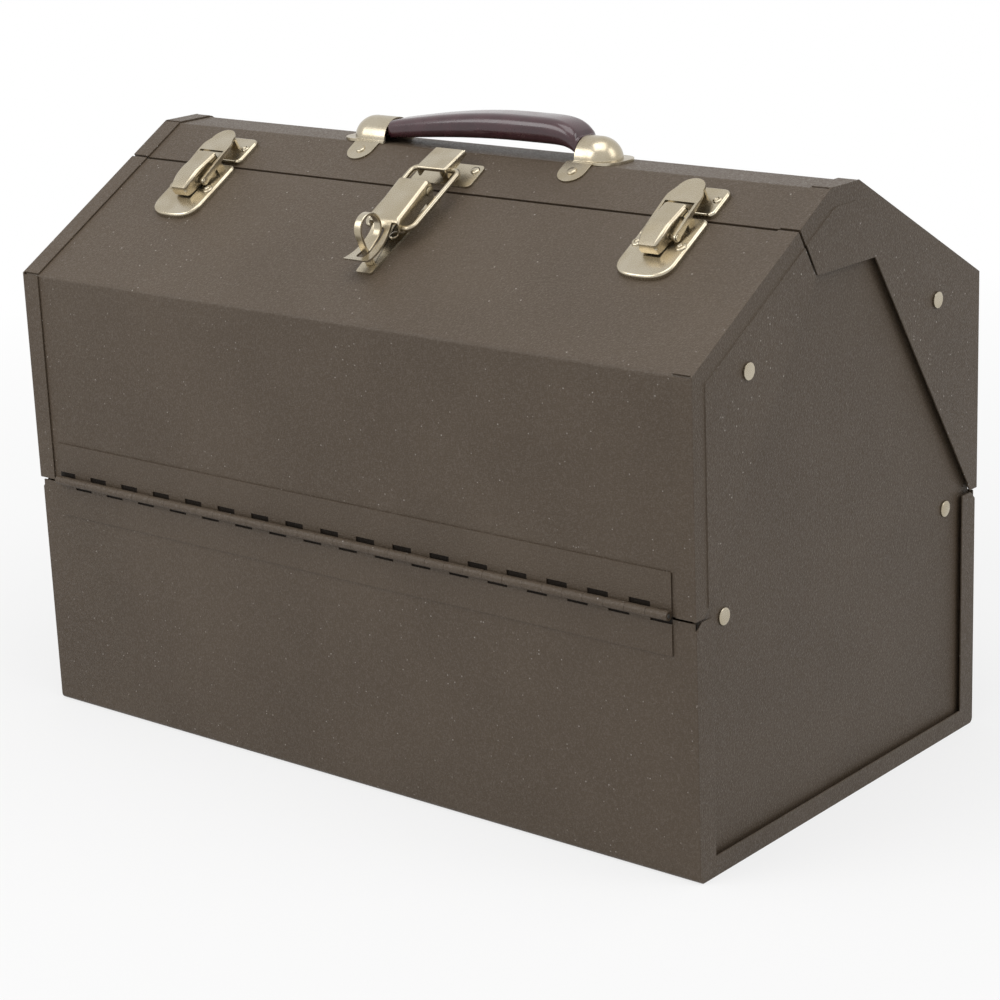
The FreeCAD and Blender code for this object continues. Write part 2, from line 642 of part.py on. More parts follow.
def tray_end(label, side, rear):
    body = new_body(label)
    front, back = minus("tray_out"), minus("tray_in")
    outline = [
        (front, "tray_rim"), (front, "tray_floor+bend"),
        (f"{front}+bend", "tray_floor", "bend", 1), (f"{back}-bend", "tray_floor"),
        (back, "tray_floor+bend", "bend", 1), (back, "tray_rim"),
    ]
    holes = [bore(minus("lid_pivot_out"), "lid_pivot_height", "pivot_hole"),
             many_sided(minus("tray_pivot_out"), "tray_pivot_height", "pivot_radius")]
    pad(body, "YZ_Plane", start_at(side, "tray_inner", "tray_half"), "tray_gauge",
        outline, *holes)
    lip = box_loop(f"{front}+bend", "tray_floor+tray_gauge",
                   f"{back}-bend", "tray_floor+2*tray_gauge")
    pad(body, "YZ_Plane", start_at(side, "tray_inner-tray_lip", "tray_inner"), "tray_lip", lip)
    if rear:
        turn_about(body)
    return body


# Arms: flat straps from the end plates of the base to the trays.
def arm(label, side, lean):
    body = new_body(label)
    half = "arm_wide/2"
    outline = [
        (half, "0", half, 1), (half, "arm_long"), ("0", f"arm_long+{half}", half, 1),
        (minus(half), "arm_long", half, 1), (minus(half), "0"), ("0", minus(half), half, 1),
    ]
    holes = [bore("0", "0", "pivot_hole"), bore("0", "arm_long", "open_hole")]
    pad(body, "YZ_Plane", start_at(side, "arm_inner", "arm_outer"), "arm_gauge",
        outline, *holes)
    body.Placement = Placement(Vector(), Rotation(Vector(-lean, 0, 0), 1))
    bind(body, "Placement.Base.y", f"{-lean}*base_pivot_out")
    bind(body, "Placement.Base.z", "base_pivot_height")
    bind(body, "Placement.Rotation.Angle", "arm_lean")
    return body


# Draw latches, drawn about their own middle and laid on the front slope.
def latch_plate(label, across):
    body = new_body(label)
    half, corner = "latch_wide/2", "latch_corner"

    def outline(inset):
        side, low, high = f"{half}-{inset}", f"latch_low+{inset}", f"latch_high-{inset}"
        turn, shoulder = f"{corner}-{inset}", f"latch_low+{half}"
        return [
            ("0", low, side, 1), (side, shoulder, side, 1), (side, f"{high}-({turn})"),
            (f"{side}-({turn})", high, turn, 1), (minus(f"{side}-({turn})"), high),
            (minus(side), f"{high}-({turn})", turn, 1), (minus(side), shoulder),
        ]
    pad(body, "XY_Plane", "0", "latch_rise", outline("0"))
    ease_rim(body, "latch_rise", "latch_edge")
    cut(body, "XY_Plane", "0", "latch_rise-gauge", outline("gauge"))
    spots = [("latch_rivet_out", "latch_rivet_up"), (minus("latch_rivet_out"), "latch_rivet_up")]
    cut(body, "XY_Plane", "0", "latch_rise", *small_holes(spots))
    ear_half = "lever_boss+0.2"
    ear = [
        (f"lever_pivot_up-({ear_half})", "latch_rise"), (f"lever_pivot_up+({ear_half})", "latch_rise"),
        (f"lever_pivot_up+({ear_half})", "lever_pivot_off"),
        ("lever_pivot_up", f"lever_pivot_off+({ear_half})", ear_half, 1),
        (f"lever_pivot_up-({ear_half})", "lever_pivot_off", ear_half, 1),
    ]
    hole = many_sided("lever_pivot_up", "lever_pivot_off", "lever_pin_radius")
    for _, side in SIDES:
        pad(body, "YZ_Plane", start_at(side, "latch_ear_in", "latch_ear_out"),
            "latch_ear_gauge", ear, hole)
    lay_on_slope(body, across)
    return body


def latch_strike(label, across):
    body = new_body(label)
    half = "latch_wide/2"
    pad(body, "XY_Plane", "0", "strike_rise",
        rounded_loop(minus(half), "strike_low", half, "strike_high", "latch_corner"))
    ease_rim(body, "strike_rise", "latch_edge")
    cut(body, "XY_Plane", "0", "strike_rise-gauge",
        rounded_loop(minus(f"{half}-gauge"), "strike_low+gauge", f"{half}-gauge",
                     "strike_high-gauge", "inner_bend"))
    spots = [("latch_rivet_out", "strike_rivet_up"), (minus("latch_rivet_out"), "strike_rivet_up")]
    cut(body, "XY_Plane", "0", "strike_rise", *small_holes(spots))
    nose = box_loop("nose_at", "strike_rise", "nose_at+nose_gauge", "nose_top")
    pad(body, "YZ_Plane", "-nose_wide/2", "nose_wide", nose)
    lay_on_slope(body, across)
    return body


def latch_lever(label, across):
    body = new_body(label)
    s, n, boss = "lever_pivot_up", "lever_pivot_off", "lever_boss"
    outline = [
        (f"{s}+{boss}", n), (s, f"{n}-{boss}", boss, -1), ("latch_low+17.5", f"{n}-2.2"),
        ("latch_low+14.8", f"{n}-1.7"), ("latch_low+17.7", f"{n}+3", "12", -1),
        ("latch_low+29.5", f"{n}+7", "26", -1), (f"{s}+2.9", f"{n}+5.9"),
        (f"{s}+3.8", f"{n}+5", "0.9", -1), (f"{s}+3.8", f"{n}+4.2"), (f"{s}+{boss}", f"{n}+4"),
    ]
    pad(body, "YZ_Plane", "-lever_wide/2", "lever_wide", outline)
    inside = [
        (f"{s}+2.8", f"{n}-3"), ("latch_low+17", f"{n}-3"), ("latch_low+16.2", f"{n}-1.4"),
        ("latch_low+18.5", f"{n}+2.4", "11", -1), ("latch_low+29.6", f"{n}+6", "25", -1),
        (f"{s}+2.8", f"{n}+4.9"),
    ]
    cut(body, "YZ_Plane", "lever_gauge-lever_wide/2", "lever_wide-2*lever_gauge", inside)
    pins = [bore(s, n, "lever_pin_radius+running_fit"),
            many_sided("tongue_pivot_up", "tongue_pivot_off", "tongue_pin_radius")]
    cut(body, "YZ_Plane", "-lever_wide/2", "lever_wide", *pins)
    lay_on_slope(body, across)
    return body


def latch_tongue(label, across):
    body = new_body(label)
    out, head = "leg_out", "tongue_head"
    centre = f"tongue_tip-{head}"
    plate = [
        (out, "tongue_low"), (out, "tongue_low+4"), (head, centre, "12", 1),
        ("0", "tongue_tip", head, 1), (minus(head), centre, head, 1),
        (minus(out), "tongue_low+4", "12", 1), (minus(out), "tongue_low"),
    ]
    pad(body, "XY_Plane", "tongue_under", "tongue_gauge", plate)
    s, n, end = "tongue_pivot_up", "tongue_pivot_off", "tongue_leg_end"
    leg = [
        (s, f"{n}+{end}", end, -1), ("tongue_low", "tongue_top"), ("tongue_low+4", "tongue_top"),
        ("tongue_low+4", "tongue_under"), (s, f"{n}-{end}"), (f"{s}-{end}", n, end, -1),
    ]
    hole = bore(s, n, "tongue_pin_radius+running_fit")
    for _, side in SIDES:
        pad(body, "YZ_Plane", start_at(side, "tongue_leg_in", "leg_out"),
            "tongue_leg_gauge", leg, hole)
    lip = box_loop("tongue_tip-2", "tongue_under-tongue_lip", "tongue_tip-0.8", "tongue_under")
    pad(body, "YZ_Plane", "-nose_wide/2+2", "nose_wide-4", lip)
    lay_on_slope(body, across)
    return body


def cross_pin(label, across, s, n, radius, half, head="0", head_high="0"):
    """A pin along X in the slope frame, headed at both ends where asked."""
    body = new_body(label)
    pad(body, "YZ_Plane", minus(half), f"2*({half})", many_sided(s, n, radius))
    if head != "0":
        for _, side in SIDES:
            pad(body, "YZ_Plane", start_at(side, half, f"{half}+{head_high}"), head_high,
                many_sided(s, n, head))
    lay_on_slope(body, across)
    return body


# Small rivets: head on the fitting, shank through the sheet, tail inside.
def small_rivets(label, groups):
    """Groups are (plane, spots, height of the fitting's face off the slope)."""
    body = new_body(label)
    for plane, spots, face in groups:
        steps = (("-gauge-small_rivet_high", "small_rivet_high", "small_rivet_tail", 8),
                 ("-gauge", f"gauge+{face}", "small_rivet_radius", 8),
                 (face, "small_rivet_high", "small_rivet_head", 12))
        for start, high, radius, sides in steps:
            discs = [many_sided(across, along, radius, sides) for across, along in spots]
            pad(body, plane, start, high, *discs)
    return body


# Padlock hasp in the middle: plate, lever, wire bail with its hook, keeper, eye.
def hasp_plate():
    body = new_body("hasp_plate")
    half = "hasp_wide/2"
    pad(body, "XY_Plane", "0", "hasp_gauge",
        rounded_loop(minus(half), "hasp_low", half, "hasp_high", "2"))
    cut(body, "XY_Plane", "0", "hasp_gauge", *small_holes(HASP_SPOTS))
    s, n, boss = "hasp_pivot_up", "hasp_pivot_off", "hasp_boss"
    ear = [
        (f"{s}-{boss}-1", "hasp_gauge"), (f"{s}+{boss}", "hasp_gauge"),
        (f"{s}+{boss}", n), (s, f"{n}+{boss}", boss, 1), (f"{s}-{boss}", n, boss, 1),
    ]
    for _, side in SIDES:
        pad(body, "YZ_Plane", start_at(side, "hasp_ear_in", "hasp_ear_out"), "hasp_ear_gauge",
            ear, many_sided(s, n, "hasp_pin_radius"))
    lay_on_slope(body)
    return body


def padlock_eye():
    body = new_body("padlock_eye")
    stem = [
        ("eye_stem_low", "hasp_gauge"), ("eye_stem_high", "hasp_gauge"),
        ("eye_up+eye_radius*0.9", "eye_off-eye_radius*0.4"),
        ("eye_up", "eye_off-eye_radius*0.7"), ("eye_up-eye_radius*0.9", "eye_off-eye_radius*0.4"),
    ]
    pad(body, "YZ_Plane", "-eye_gauge/2", "eye_gauge", stem)
    pad(body, "YZ_Plane", "-eye_gauge/2", "eye_gauge", ("ring", "eye_up", "eye_off", "eye_radius"))
    cut(body, "YZ_Plane", "-eye_gauge/2", "eye_gauge", ("ring", "eye_up", "eye_off", "eye_hole"))
    lay_on_slope(body)
    return body


def hasp_lever():
    body = new_body("hasp_lever")
    s, n = "bail_pivot_up", "bail_pivot_off"
    boss, half = "bail_boss", "draw_half"
    outline = [
        (f"{s}-{boss}", n, boss, -1), ("draw_low_up-2.2", "draw_low_off-1.6"),
        ("draw_low_up", "draw_low_off"),
        ("draw_top_up-1.8", "draw_top_off"), ("draw_top_up", "draw_top_off-1.8", "1.8", -1),
        ("draw_top_up", "hasp_pivot_off"), ("hasp_pivot_up", "hasp_pivot_off-3.5", "3.5", -1),
        (s, f"{n}-{boss}"),
    ]
    pad(body, "YZ_Plane", minus(half), f"2*{half}", outline)
    gauge = "draw_gauge"
    inside = [
        (f"{s}-{boss}-1", "0"), (f"{s}-{boss}-1", f"draw_low_off-1.6-{gauge}"),
        ("draw_low_up-1.6", f"draw_low_off-1.4-{gauge}"), ("draw_low_up", f"draw_low_off-{gauge}"),
        (f"draw_top_up+{gauge}", f"draw_top_off-{gauge}"), (f"draw_top_up+{gauge}", "0"),
    ]
    cut(body, "YZ_Plane", minus("draw_in"), "2*draw_in", inside)
    root_up, root_off = "draw_low_up-2.2", "draw_low_off-1.6"
    tail = [
        ("tail_tip_up", "tail_tip_off"), (root_up, root_off, "tail_curve", 1),
        (f"{root_up}+1.5", f"{root_off}-0.3"), (f"{root_up}+1.5", f"{root_off}-{gauge}"),
        (f"{root_up}+0.3", f"{root_off}-{gauge}-0.2"),
        ("tail_tip_up+0.4", f"tail_tip_off-{gauge}", f"tail_curve+{gauge}", -1),
    ]
    tip, root = "tail_tip_wide/2", "tail_root_wide/2"
    pad(body, "YZ_Plane", minus(tip), f"2*{tip}", tail)
    for _, side in SIDES:
        waste = [
            (f"{side}*{root}", f"{root_up}+0.01"), (f"{side}*({tip}+1)", f"{root_up}+0.01"),
            (f"{side}*({tip}+1)", "tail_tip_up+2.5"), (f"{side}*{tip}", "tail_tip_up+2.5"),
        ]
        cut(body, "XY_Plane", "hasp_gauge", "draw_low_off", waste)
    cut(body, "XY_Plane", "hasp_gauge", "draw_low_off",
        rounded_loop("-slot_wide/2", "slot_low", "slot_wide/2", "slot_high", "2"))
    pins = [bore("hasp_pivot_up", "hasp_pivot_off", "hasp_pin_radius+running_fit"),
            bore(s, n, "bail_radius+running_fit")]
    cut(body, "YZ_Plane", minus(half), f"2*{half}", *pins)
    lay_on_slope(body)
    return body


def hasp_bail():
    body = new_body("hasp_bail")
    out, turn = "bail_out", "bail_bend"
    low, high = "bail_pivot_up", "hook_bar_up"
    half = [
        ("bail_end", low), (f"{out}-{turn}", low), (out, f"{low}+{turn}", turn, 1),
        (out, f"{high}-{turn}"), (f"{out}-{turn}", high, turn, 1),
    ]
    far = [
        (minus(f"{out}-{turn}"), high), (minus(out), f"{high}-{turn}", turn, 1),
        (minus(out), f"{low}+{turn}"), (minus(f"{out}-{turn}"), low, turn, 1),
        ("-bail_end", low),
    ]
    path = sketch_on(body, "XY_Plane", "bail_pivot_off", [half + far], closed=False)
    wire = sketch_on(body, "YZ_Plane", "bail_end",
                     [many_sided(low, "bail_pivot_off", "bail_radius", 8)])
    pipe = body.newObject("PartDesign::AdditivePipe", "Wire")
    pipe.Profile = wire
    pipe.Spine = path
    lay_on_slope(body)
    return body


def hasp_hook():
    body = new_body("hasp_hook")
    half, inner = "draw_half", "draw_in"
    outline = [
        ("hook_low", "hook_under_low"), ("hook_high", "hook_under_high"),
        ("hook_high", "hook_top_high-1"), ("hook_high-1", "hook_top_high", "1", 1),
        ("hook_low+1", "hook_top_low"), ("hook_low", "hook_top_low-1", "1", 1),
    ]
    pad(body, "YZ_Plane", minus(half), f"2*{half}", outline)
    inside = [
        ("hook_low-1", "hook_under_low-1"), ("hook_high+1", "hook_under_low-1"),
        ("hook_high+1", "hook_top_high-draw_gauge"),
        ("hook_low-1", "hook_top_low-draw_gauge"),
    ]
    cut(body, "YZ_Plane", minus(inner), f"2*{inner}", inside)
    cut(body, "YZ_Plane", minus(half), f"2*{half}",
        bore("hook_bar_up", "bail_pivot_off", "bail_radius"))
    lay_on_slope(body)
    return body


def hasp_keeper():
    body = new_body("hasp_keeper")
    half = "keeper_wide/2"
    pad(body, "XY_Plane", "0", "keeper_gauge",
        rounded_loop(minus(half), "keeper_low", half, "keeper_high", "latch_corner"))
    cut(body, "XY_Plane", "0", "keeper_gauge", *small_holes(KEEPER_SPOTS))
    tab = box_loop("upstand_at", "keeper_gauge", "upstand_at+keeper_gauge", "upstand_top")
    pad(body, "YZ_Plane", "-upstand_wide/2", "upstand_wide", tab)
    lay_on_slope(body)
    return body


# Carrying handle: ball-ended caps riveted over the ends of a strap, and its grip.
def cap_outer(label, middle, mouth):
    """The outside of a cap as a solid: a half-round run, a ball end and a foot bead."""
    centre = f"{middle}+cap_ball"
    run = new_body(f"{label}_run")
    wide, springing = "cap_radius", "top_height+cap_foot"
    arch = [
        (minus(wide), "top_height"), (wide, "top_height"), (wide, springing),
        ("0", f"{springing}+{wide}", wide, 1), (minus(wide), springing, wide, 1),
    ]
    pad(run, "YZ_Plane", mouth, f"({centre})-({mouth})", arch)
    ball = doc.addObject("Part::Sphere", f"{label}_ball")
    ball.Angle1 = 0
    ball.Angle3 = 180
    foot = doc.addObject("Part::Cylinder", f"{label}_foot")
    foot.Angle = 180
    bind(foot, "Height", "cap_foot")
    for piece, level in ((ball, springing), (foot, "top_height")):
        bind(piece, "Radius", wide)
        piece.Placement = Placement(Vector(), Rotation(Vector(0, 0, 1), -90))
        bind(piece, "Placement.Base.x", centre)
        bind(piece, "Placement.Base.z", level)
    bead = new_body(f"{label}_bead")
    side, corner = "cap_radius+bead_out", "bead_corner"
    end = f"{centre}+cap_radius+bead_end"
    rim = [
        (mouth, minus(side)), (f"{end}-{corner}", minus(side)),
        (end, f"{corner}-({side})", corner, 1), (end, f"{side}-{corner}"),
        (f"{end}-{corner}", side, corner, 1), (mouth, side),
    ]
    pad(bead, "XY_Plane", "top_height", "bead_high", rim)
    return [run, ball, foot, bead]


def cap_room(label, middle, mouth):
    """The inside of a cap: half-round from the mouth, then a low pocket for the strap."""
    room = new_body(label)
    wide, floor, springing = "cap_radius-gauge", "top_height-gauge", "top_height+cap_foot"
    centre = f"{middle}+cap_ball"
    arch = [
        (minus(wide), floor), (wide, floor), (wide, springing),
        ("0", f"{springing}+{wide}", wide, 1), (minus(wide), springing, wide, 1),
    ]
    pad(room, "YZ_Plane", f"{mouth}-gauge", f"({centre})-({mouth})+gauge", arch)
    pocket = box_loop("-pocket_half", floor, "pocket_half", "top_height+pocket_high")
    pad(room, "YZ_Plane", centre, "pocket_long", pocket)
    return room


def cap_ear(label, middle, turn):
    """One ear of a cap, down the front slope (1) or the rear slope (-1)."""
    plane = "front_slope" if turn > 0 else "rear_slope"
    ear = new_body(label)
    half = "ear_wide/2"
    ends = [(f"{middle}+{half}", f"ear_low+{half}"), (f"{middle}+{half}", "slope_long+gauge"),
            (f"{middle}-{half}", "slope_long+gauge"), (f"{middle}-{half}", f"ear_low+{half}")]
    loop = [(x, f"{turn}*({along})") for x, along in ends]
    loop[0] = (*loop[0], half, turn)
    loop.append((middle, f"{turn}*ear_low", half, turn))
    pad(ear, plane, "0", "gauge", loop)
    cut(ear, plane, "0", "gauge", *small_holes([(middle, f"{turn}*ear_rivet_up")]))
    return ear


def handle_cap(name, side):
    middle = "(cap_at+handle_at)" if side > 0 else "(cap_at-handle_at)"
    mouth = f"{middle}-mouth_{name}"
    outer = doc.addObject("Part::MultiFuse", f"cap_{name}_outer")
    outer.Shapes = cap_outer(f"cap_{name}", middle, mouth)
    shell = doc.addObject("Part::Cut", f"cap_{name}_shell")
    shell.Base = outer
    shell.Tool = cap_room(f"cap_{name}_room", middle, mouth)
    cap = doc.addObject("Part::MultiFuse", f"handle_cap_{name}")
    cap.Label = f"handle_cap_{name}"
    cap.Shapes = [shell] + [cap_ear(f"cap_{name}_ear", middle, turn) for turn in (1, -1)]
    if side < 0:
        turn_about(cap)
    return cap


def strap_body(label):
    """The strap: level in the caps, up through their mouths and along inside the grip."""
    body = new_body(label)
    left, right = "handle_at-strap_half", "handle_at+strap_half"
    low, rise, crown = "strap_low", "strap_low+strap_rise", "strap_low+strap_crown"
    under = [
        (left, low), ("mouth_left_at-2*strap_ramp", low), ("mouth_left_at", rise),
        ("crown_left", crown), ("crown_right", crown), ("mouth_right_at", rise),
        ("mouth_right_at+strap_ramp", low), (right, low),
    ]
    over = [(across, f"{up}+strap_gauge") for across, up in reversed(under)]
    pad(body, "XZ_Plane", "-strap_wide/2", "strap_wide", under + over)
    return body


def handle_grip():
    """A moulded sleeve lofted along the strap: it swells to its crown and curls down."""
    sleeve = new_body("grip_sleeve")
    stations = []
    for share in (0, 0.17, 0.4, 0.67):
        lift = f"sin({90 * share})"
        stations.append((
            f"grip_left+{share}*(grip_crown-grip_left)",
            f"grip_left_under+(grip_crown_under-grip_left_under)*{lift}",
            f"grip_left_high+(grip_crown_high-grip_left_high)*{lift}",
            f"grip_wide-(grip_wide-grip_end_wide)*(1-{lift})^2",
        ))
    for share in (0, 0.4, 0.67, 0.83, 0.93, 1):
        curl = f"grip_curl*{share}^9"
        stations.append((
            f"grip_crown+{share}*(grip_right-grip_crown)", f"grip_crown_under-{curl}",
            f"grip_crown_high-grip_fall*{share}^6+{curl}",
            f"grip_wide-(grip_wide-grip_end_wide)*{share}^9",
        ))
    sections = []
    for at, under, high, wide in stations:
        low = f"top_height+{under}"
        loop = rounded_loop(f"-({wide})/2", low, f"({wide})/2", f"{low}+{high}",
                            f"grip_corner*({high})")
        sections.append(sketch_on(sleeve, "YZ_Plane", at, [loop]))
    loft = sleeve.newObject("PartDesign::AdditiveLoft", "Sleeve")
    loft.Ruled = True
    loft.Profile = sections[0]
    loft.Sections = sections[1:]
    grip = doc.addObject("Part::Cut", "handle_grip")
    grip.Label = "handle_grip"
    grip.Base = sleeve
    grip.Tool = strap_body("grip_channel")
    return grip


nodes = [base_wrap(), front_lid_wrap(), rear_lid_wrap(), hasp_plate(), padlock_eye(),
         hasp_lever(), hasp_bail(), hasp_hook(), hasp_keeper(),
         strap_body("handle_strap"), handle_grip()]
for name, side in SIDES:
    nodes += [base_end(name, side), front_lid_end(name, side), rear_lid_end(name, side)]
    nodes.append(handle_cap(name, side))
    middle = "latch_at" if side > 0 else "-latch_at"
    nodes += [
        latch_plate(f"latch_plate_{name}", middle), latch_strike(f"latch_strike_{name}", middle),
        latch_lever(f"latch_lever_{name}", middle), latch_tongue(f"latch_tongue_{name}", middle),
        cross_pin(f"latch_pin_{name}", middle, "lever_pivot_up", "lever_pivot_off",
                  "lever_pin_radius", "latch_ear_out+0.1"),
        cross_pin(f"tongue_pin_{name}", middle, "tongue_pivot_up", "tongue_pivot_off",
                  "tongue_pin_radius", "leg_out+0.1", "tongue_leg_end-0.4", "0.6"),
    ]
nodes.append(cross_pin("hasp_pin", "0", "hasp_pivot_up", "hasp_pivot_off",
                       "hasp_pin_radius", "draw_half+0.1", "hasp_boss", "0.8"))
for name, rear in (("front", False), ("rear", True)):
    nodes += [
        hinge_leaf(f"base_hinge_leaf_{name}", "hinge_height-leaf_wide", "hinge_height",
                   "hinge_start", rear),
        hinge_leaf(f"lid_hinge_leaf_{name}", "hinge_height", "hinge_height+leaf_wide",
                   "hinge_start+knuckle", rear),
        hinge_pin(f"hinge_pin_{name}", rear), tray_pan(f"{name}_tray_pan", rear),
    ]
    for side_name, side in SIDES:
        drawn = -side if rear else side
        nodes.append(tray_end(f"{name}_tray_end_{side_name}", drawn, rear))
        nodes.append(arm(f"{name}_arm_{side_name}", side, -1 if rear else 1))
nodes += linkage_rivets()
nodes += [small_rivets("latch_rivets", [("front_slope", latch_spots("latch_rivet_up"), "latch_rise")]),
          small_rivets("strike_rivets", [("front_slope", latch_spots("strike_rivet_up"), "strike_rise")]),
          small_rivets("hasp_rivets", [("front_slope", HASP_SPOTS, "hasp_gauge")]),
          small_rivets("keeper_rivets", [("front_slope", KEEPER_SPOTS, "keeper_gauge")])]
nodes.append(small_rivets("handle_rivets", [
    ("front_slope", EAR_SPOTS, "gauge"),
    ("rear_slope", [(across, minus(along)) for across, along in EAR_SPOTS], "gauge"),
]))


def check_features():
    """Stop if a feature failed, or if a pocket took nothing away."""
    doc.recompute()
    for thing in doc.Objects:
        if {"Invalid", "Error"} & set(thing.State):
            raise RuntimeError(f"{thing.Name} ({thing.Label}) did not build: {thing.State}")
        if thing.TypeId == "PartDesign::Pocket":
            if thing.Shape.Volume > thing.BaseFeature.Shape.Volume - 1e-6:
                raise RuntimeError(f"{thing.Name} cuts nothing")


def write_parts():
    os.makedirs("parts", exist_ok=True)
    for node in nodes:
        if node.Shape.isNull() or not node.Shape.isValid():
            raise RuntimeError(f"{node.Label} is not a valid solid")
        node.Shape.exportStep(f"parts/{node.Label}.step")
        print(node.Label, len(node.Shape.Solids), round(node.Shape.Volume, 1))


check_features()
write_parts()
print(len(nodes), "parts written")
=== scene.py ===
import json
import math

import bmesh
import bpy
from mathutils import Matrix, Vector


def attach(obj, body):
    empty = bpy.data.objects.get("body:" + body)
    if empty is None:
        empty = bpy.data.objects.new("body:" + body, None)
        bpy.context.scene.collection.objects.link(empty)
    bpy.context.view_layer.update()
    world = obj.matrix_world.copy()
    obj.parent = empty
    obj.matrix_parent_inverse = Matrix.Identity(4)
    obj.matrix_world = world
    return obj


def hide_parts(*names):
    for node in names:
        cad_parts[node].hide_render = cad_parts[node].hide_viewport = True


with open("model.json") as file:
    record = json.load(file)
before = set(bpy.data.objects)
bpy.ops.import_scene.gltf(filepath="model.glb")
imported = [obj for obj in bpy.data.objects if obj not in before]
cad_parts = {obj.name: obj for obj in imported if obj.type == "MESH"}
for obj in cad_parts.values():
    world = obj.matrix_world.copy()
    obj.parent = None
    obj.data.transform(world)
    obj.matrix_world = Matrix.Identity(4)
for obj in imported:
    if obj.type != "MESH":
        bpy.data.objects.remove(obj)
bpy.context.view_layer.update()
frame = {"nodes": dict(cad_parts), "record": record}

record = frame["record"]
bodyOf = {node: body for body, nodes in record["behaviour"]["bodies"].items() for node in nodes}
slotOf = {row["node"]: row["material_slot"] for row in record["subparts"]}
millimetre = 0.001


# The case's front slope: its foot, the way up it and the way off it.
caseSet = {"halfDeep": 0.131, "kneeHeight": 0.2565, "slope": math.radians(30)}
slopeUp = Vector((0, math.cos(caseSet["slope"]), math.sin(caseSet["slope"])))
slopeOut = Vector((0, -math.sin(caseSet["slope"]), math.cos(caseSet["slope"])))
rearOut = Vector((0, math.sin(caseSet["slope"]), math.cos(caseSet["slope"])))


# Nodes of a tree, by one short call each.
def addNode(tree, kind, inputs=None, **settings):
    node = tree.nodes.new(kind)
    for name, value in settings.items():
        setattr(node, name, value)
    for name, value in (inputs or {}).items():
        if isinstance(value, bpy.types.NodeSocket):
            tree.links.new(value, node.inputs[name])
        else:
            node.inputs[name].default_value = value
    return node


# Geometry Nodes: named sizes go in, and one real mesh in one finish comes out.
def startTree(name, counts, lengths, materials=()):
    tree = bpy.data.node_groups.new(name, "GeometryNodeTree")
    face = tree.interface
    face.new_socket("Spots", in_out="INPUT", socket_type="NodeSocketGeometry")
    for label in counts:
        face.new_socket(label, in_out="INPUT", socket_type="NodeSocketInt")
    for label in lengths:
        face.new_socket(label, in_out="INPUT", socket_type="NodeSocketFloat")
    for label in ("Finish", *materials):
        face.new_socket(label, in_out="INPUT", socket_type="NodeSocketMaterial")
    face.new_socket("Piece", in_out="OUTPUT", socket_type="NodeSocketGeometry")
    return tree, tree.nodes.new("NodeGroupInput").outputs


def joined(tree, *shapes):
    joint = tree.nodes.new("GeometryNodeJoinGeometry")
    for shape in shapes:
        tree.links.new(shape, joint.inputs[0])
    return joint.outputs[0]


def finished(tree, shape, finish):
    real = addNode(tree, "GeometryNodeRealizeInstances", {0: shape}).outputs[0]
    return addNode(tree, "GeometryNodeSetMaterial", {"Geometry": real, "Material": finish}).outputs[0]


def endTree(tree, shape):
    tree.links.new(shape, tree.nodes.new("NodeGroupOutput").inputs[0])


def reckon(tree, operation, first, second=0.0):
    return addNode(tree, "ShaderNodeMath", {0: first, 1: second}, operation=operation).outputs[0]


def vectorOf(tree, x=0.0, y=0.0, z=0.0):
    return addNode(tree, "ShaderNodeCombineXYZ", {0: x, 1: y, 2: z}).outputs[0]


def moved(tree, shape, place):
    return addNode(tree, "GeometryNodeTransform", {"Geometry": shape, "Translation": place}).outputs[0]


def setInputs(modifier, values):
    for item in modifier.node_group.interface.items_tree:
        if item.in_out == "INPUT" and item.name in values:
            modifier[item.identifier] = values[item.name]


def startMaterial(name):
    material = bpy.data.materials.new(name)
    material.use_nodes = True
    tree = material.node_tree
    return material, tree, tree.nodes["Principled BSDF"]


def mixColours(tree, share, below, above):
    mix = addNode(tree, "ShaderNodeMix", data_type="RGBA", clamp_factor=True)
    for socket, value in ((mix.inputs[0], share), (mix.inputs[6], below), (mix.inputs[7], above)):
        if isinstance(value, bpy.types.NodeSocket):
            tree.links.new(value, socket)
        else:
            socket.default_value = value
    return mix.outputs[2]


def rescale(tree, value, low, high, toLow, toHigh):
    inputs = {0: value, 1: low, 2: high, 3: toLow, 4: toHigh}
    return addNode(tree, "ShaderNodeMapRange", inputs, clamp=True).outputs[0]


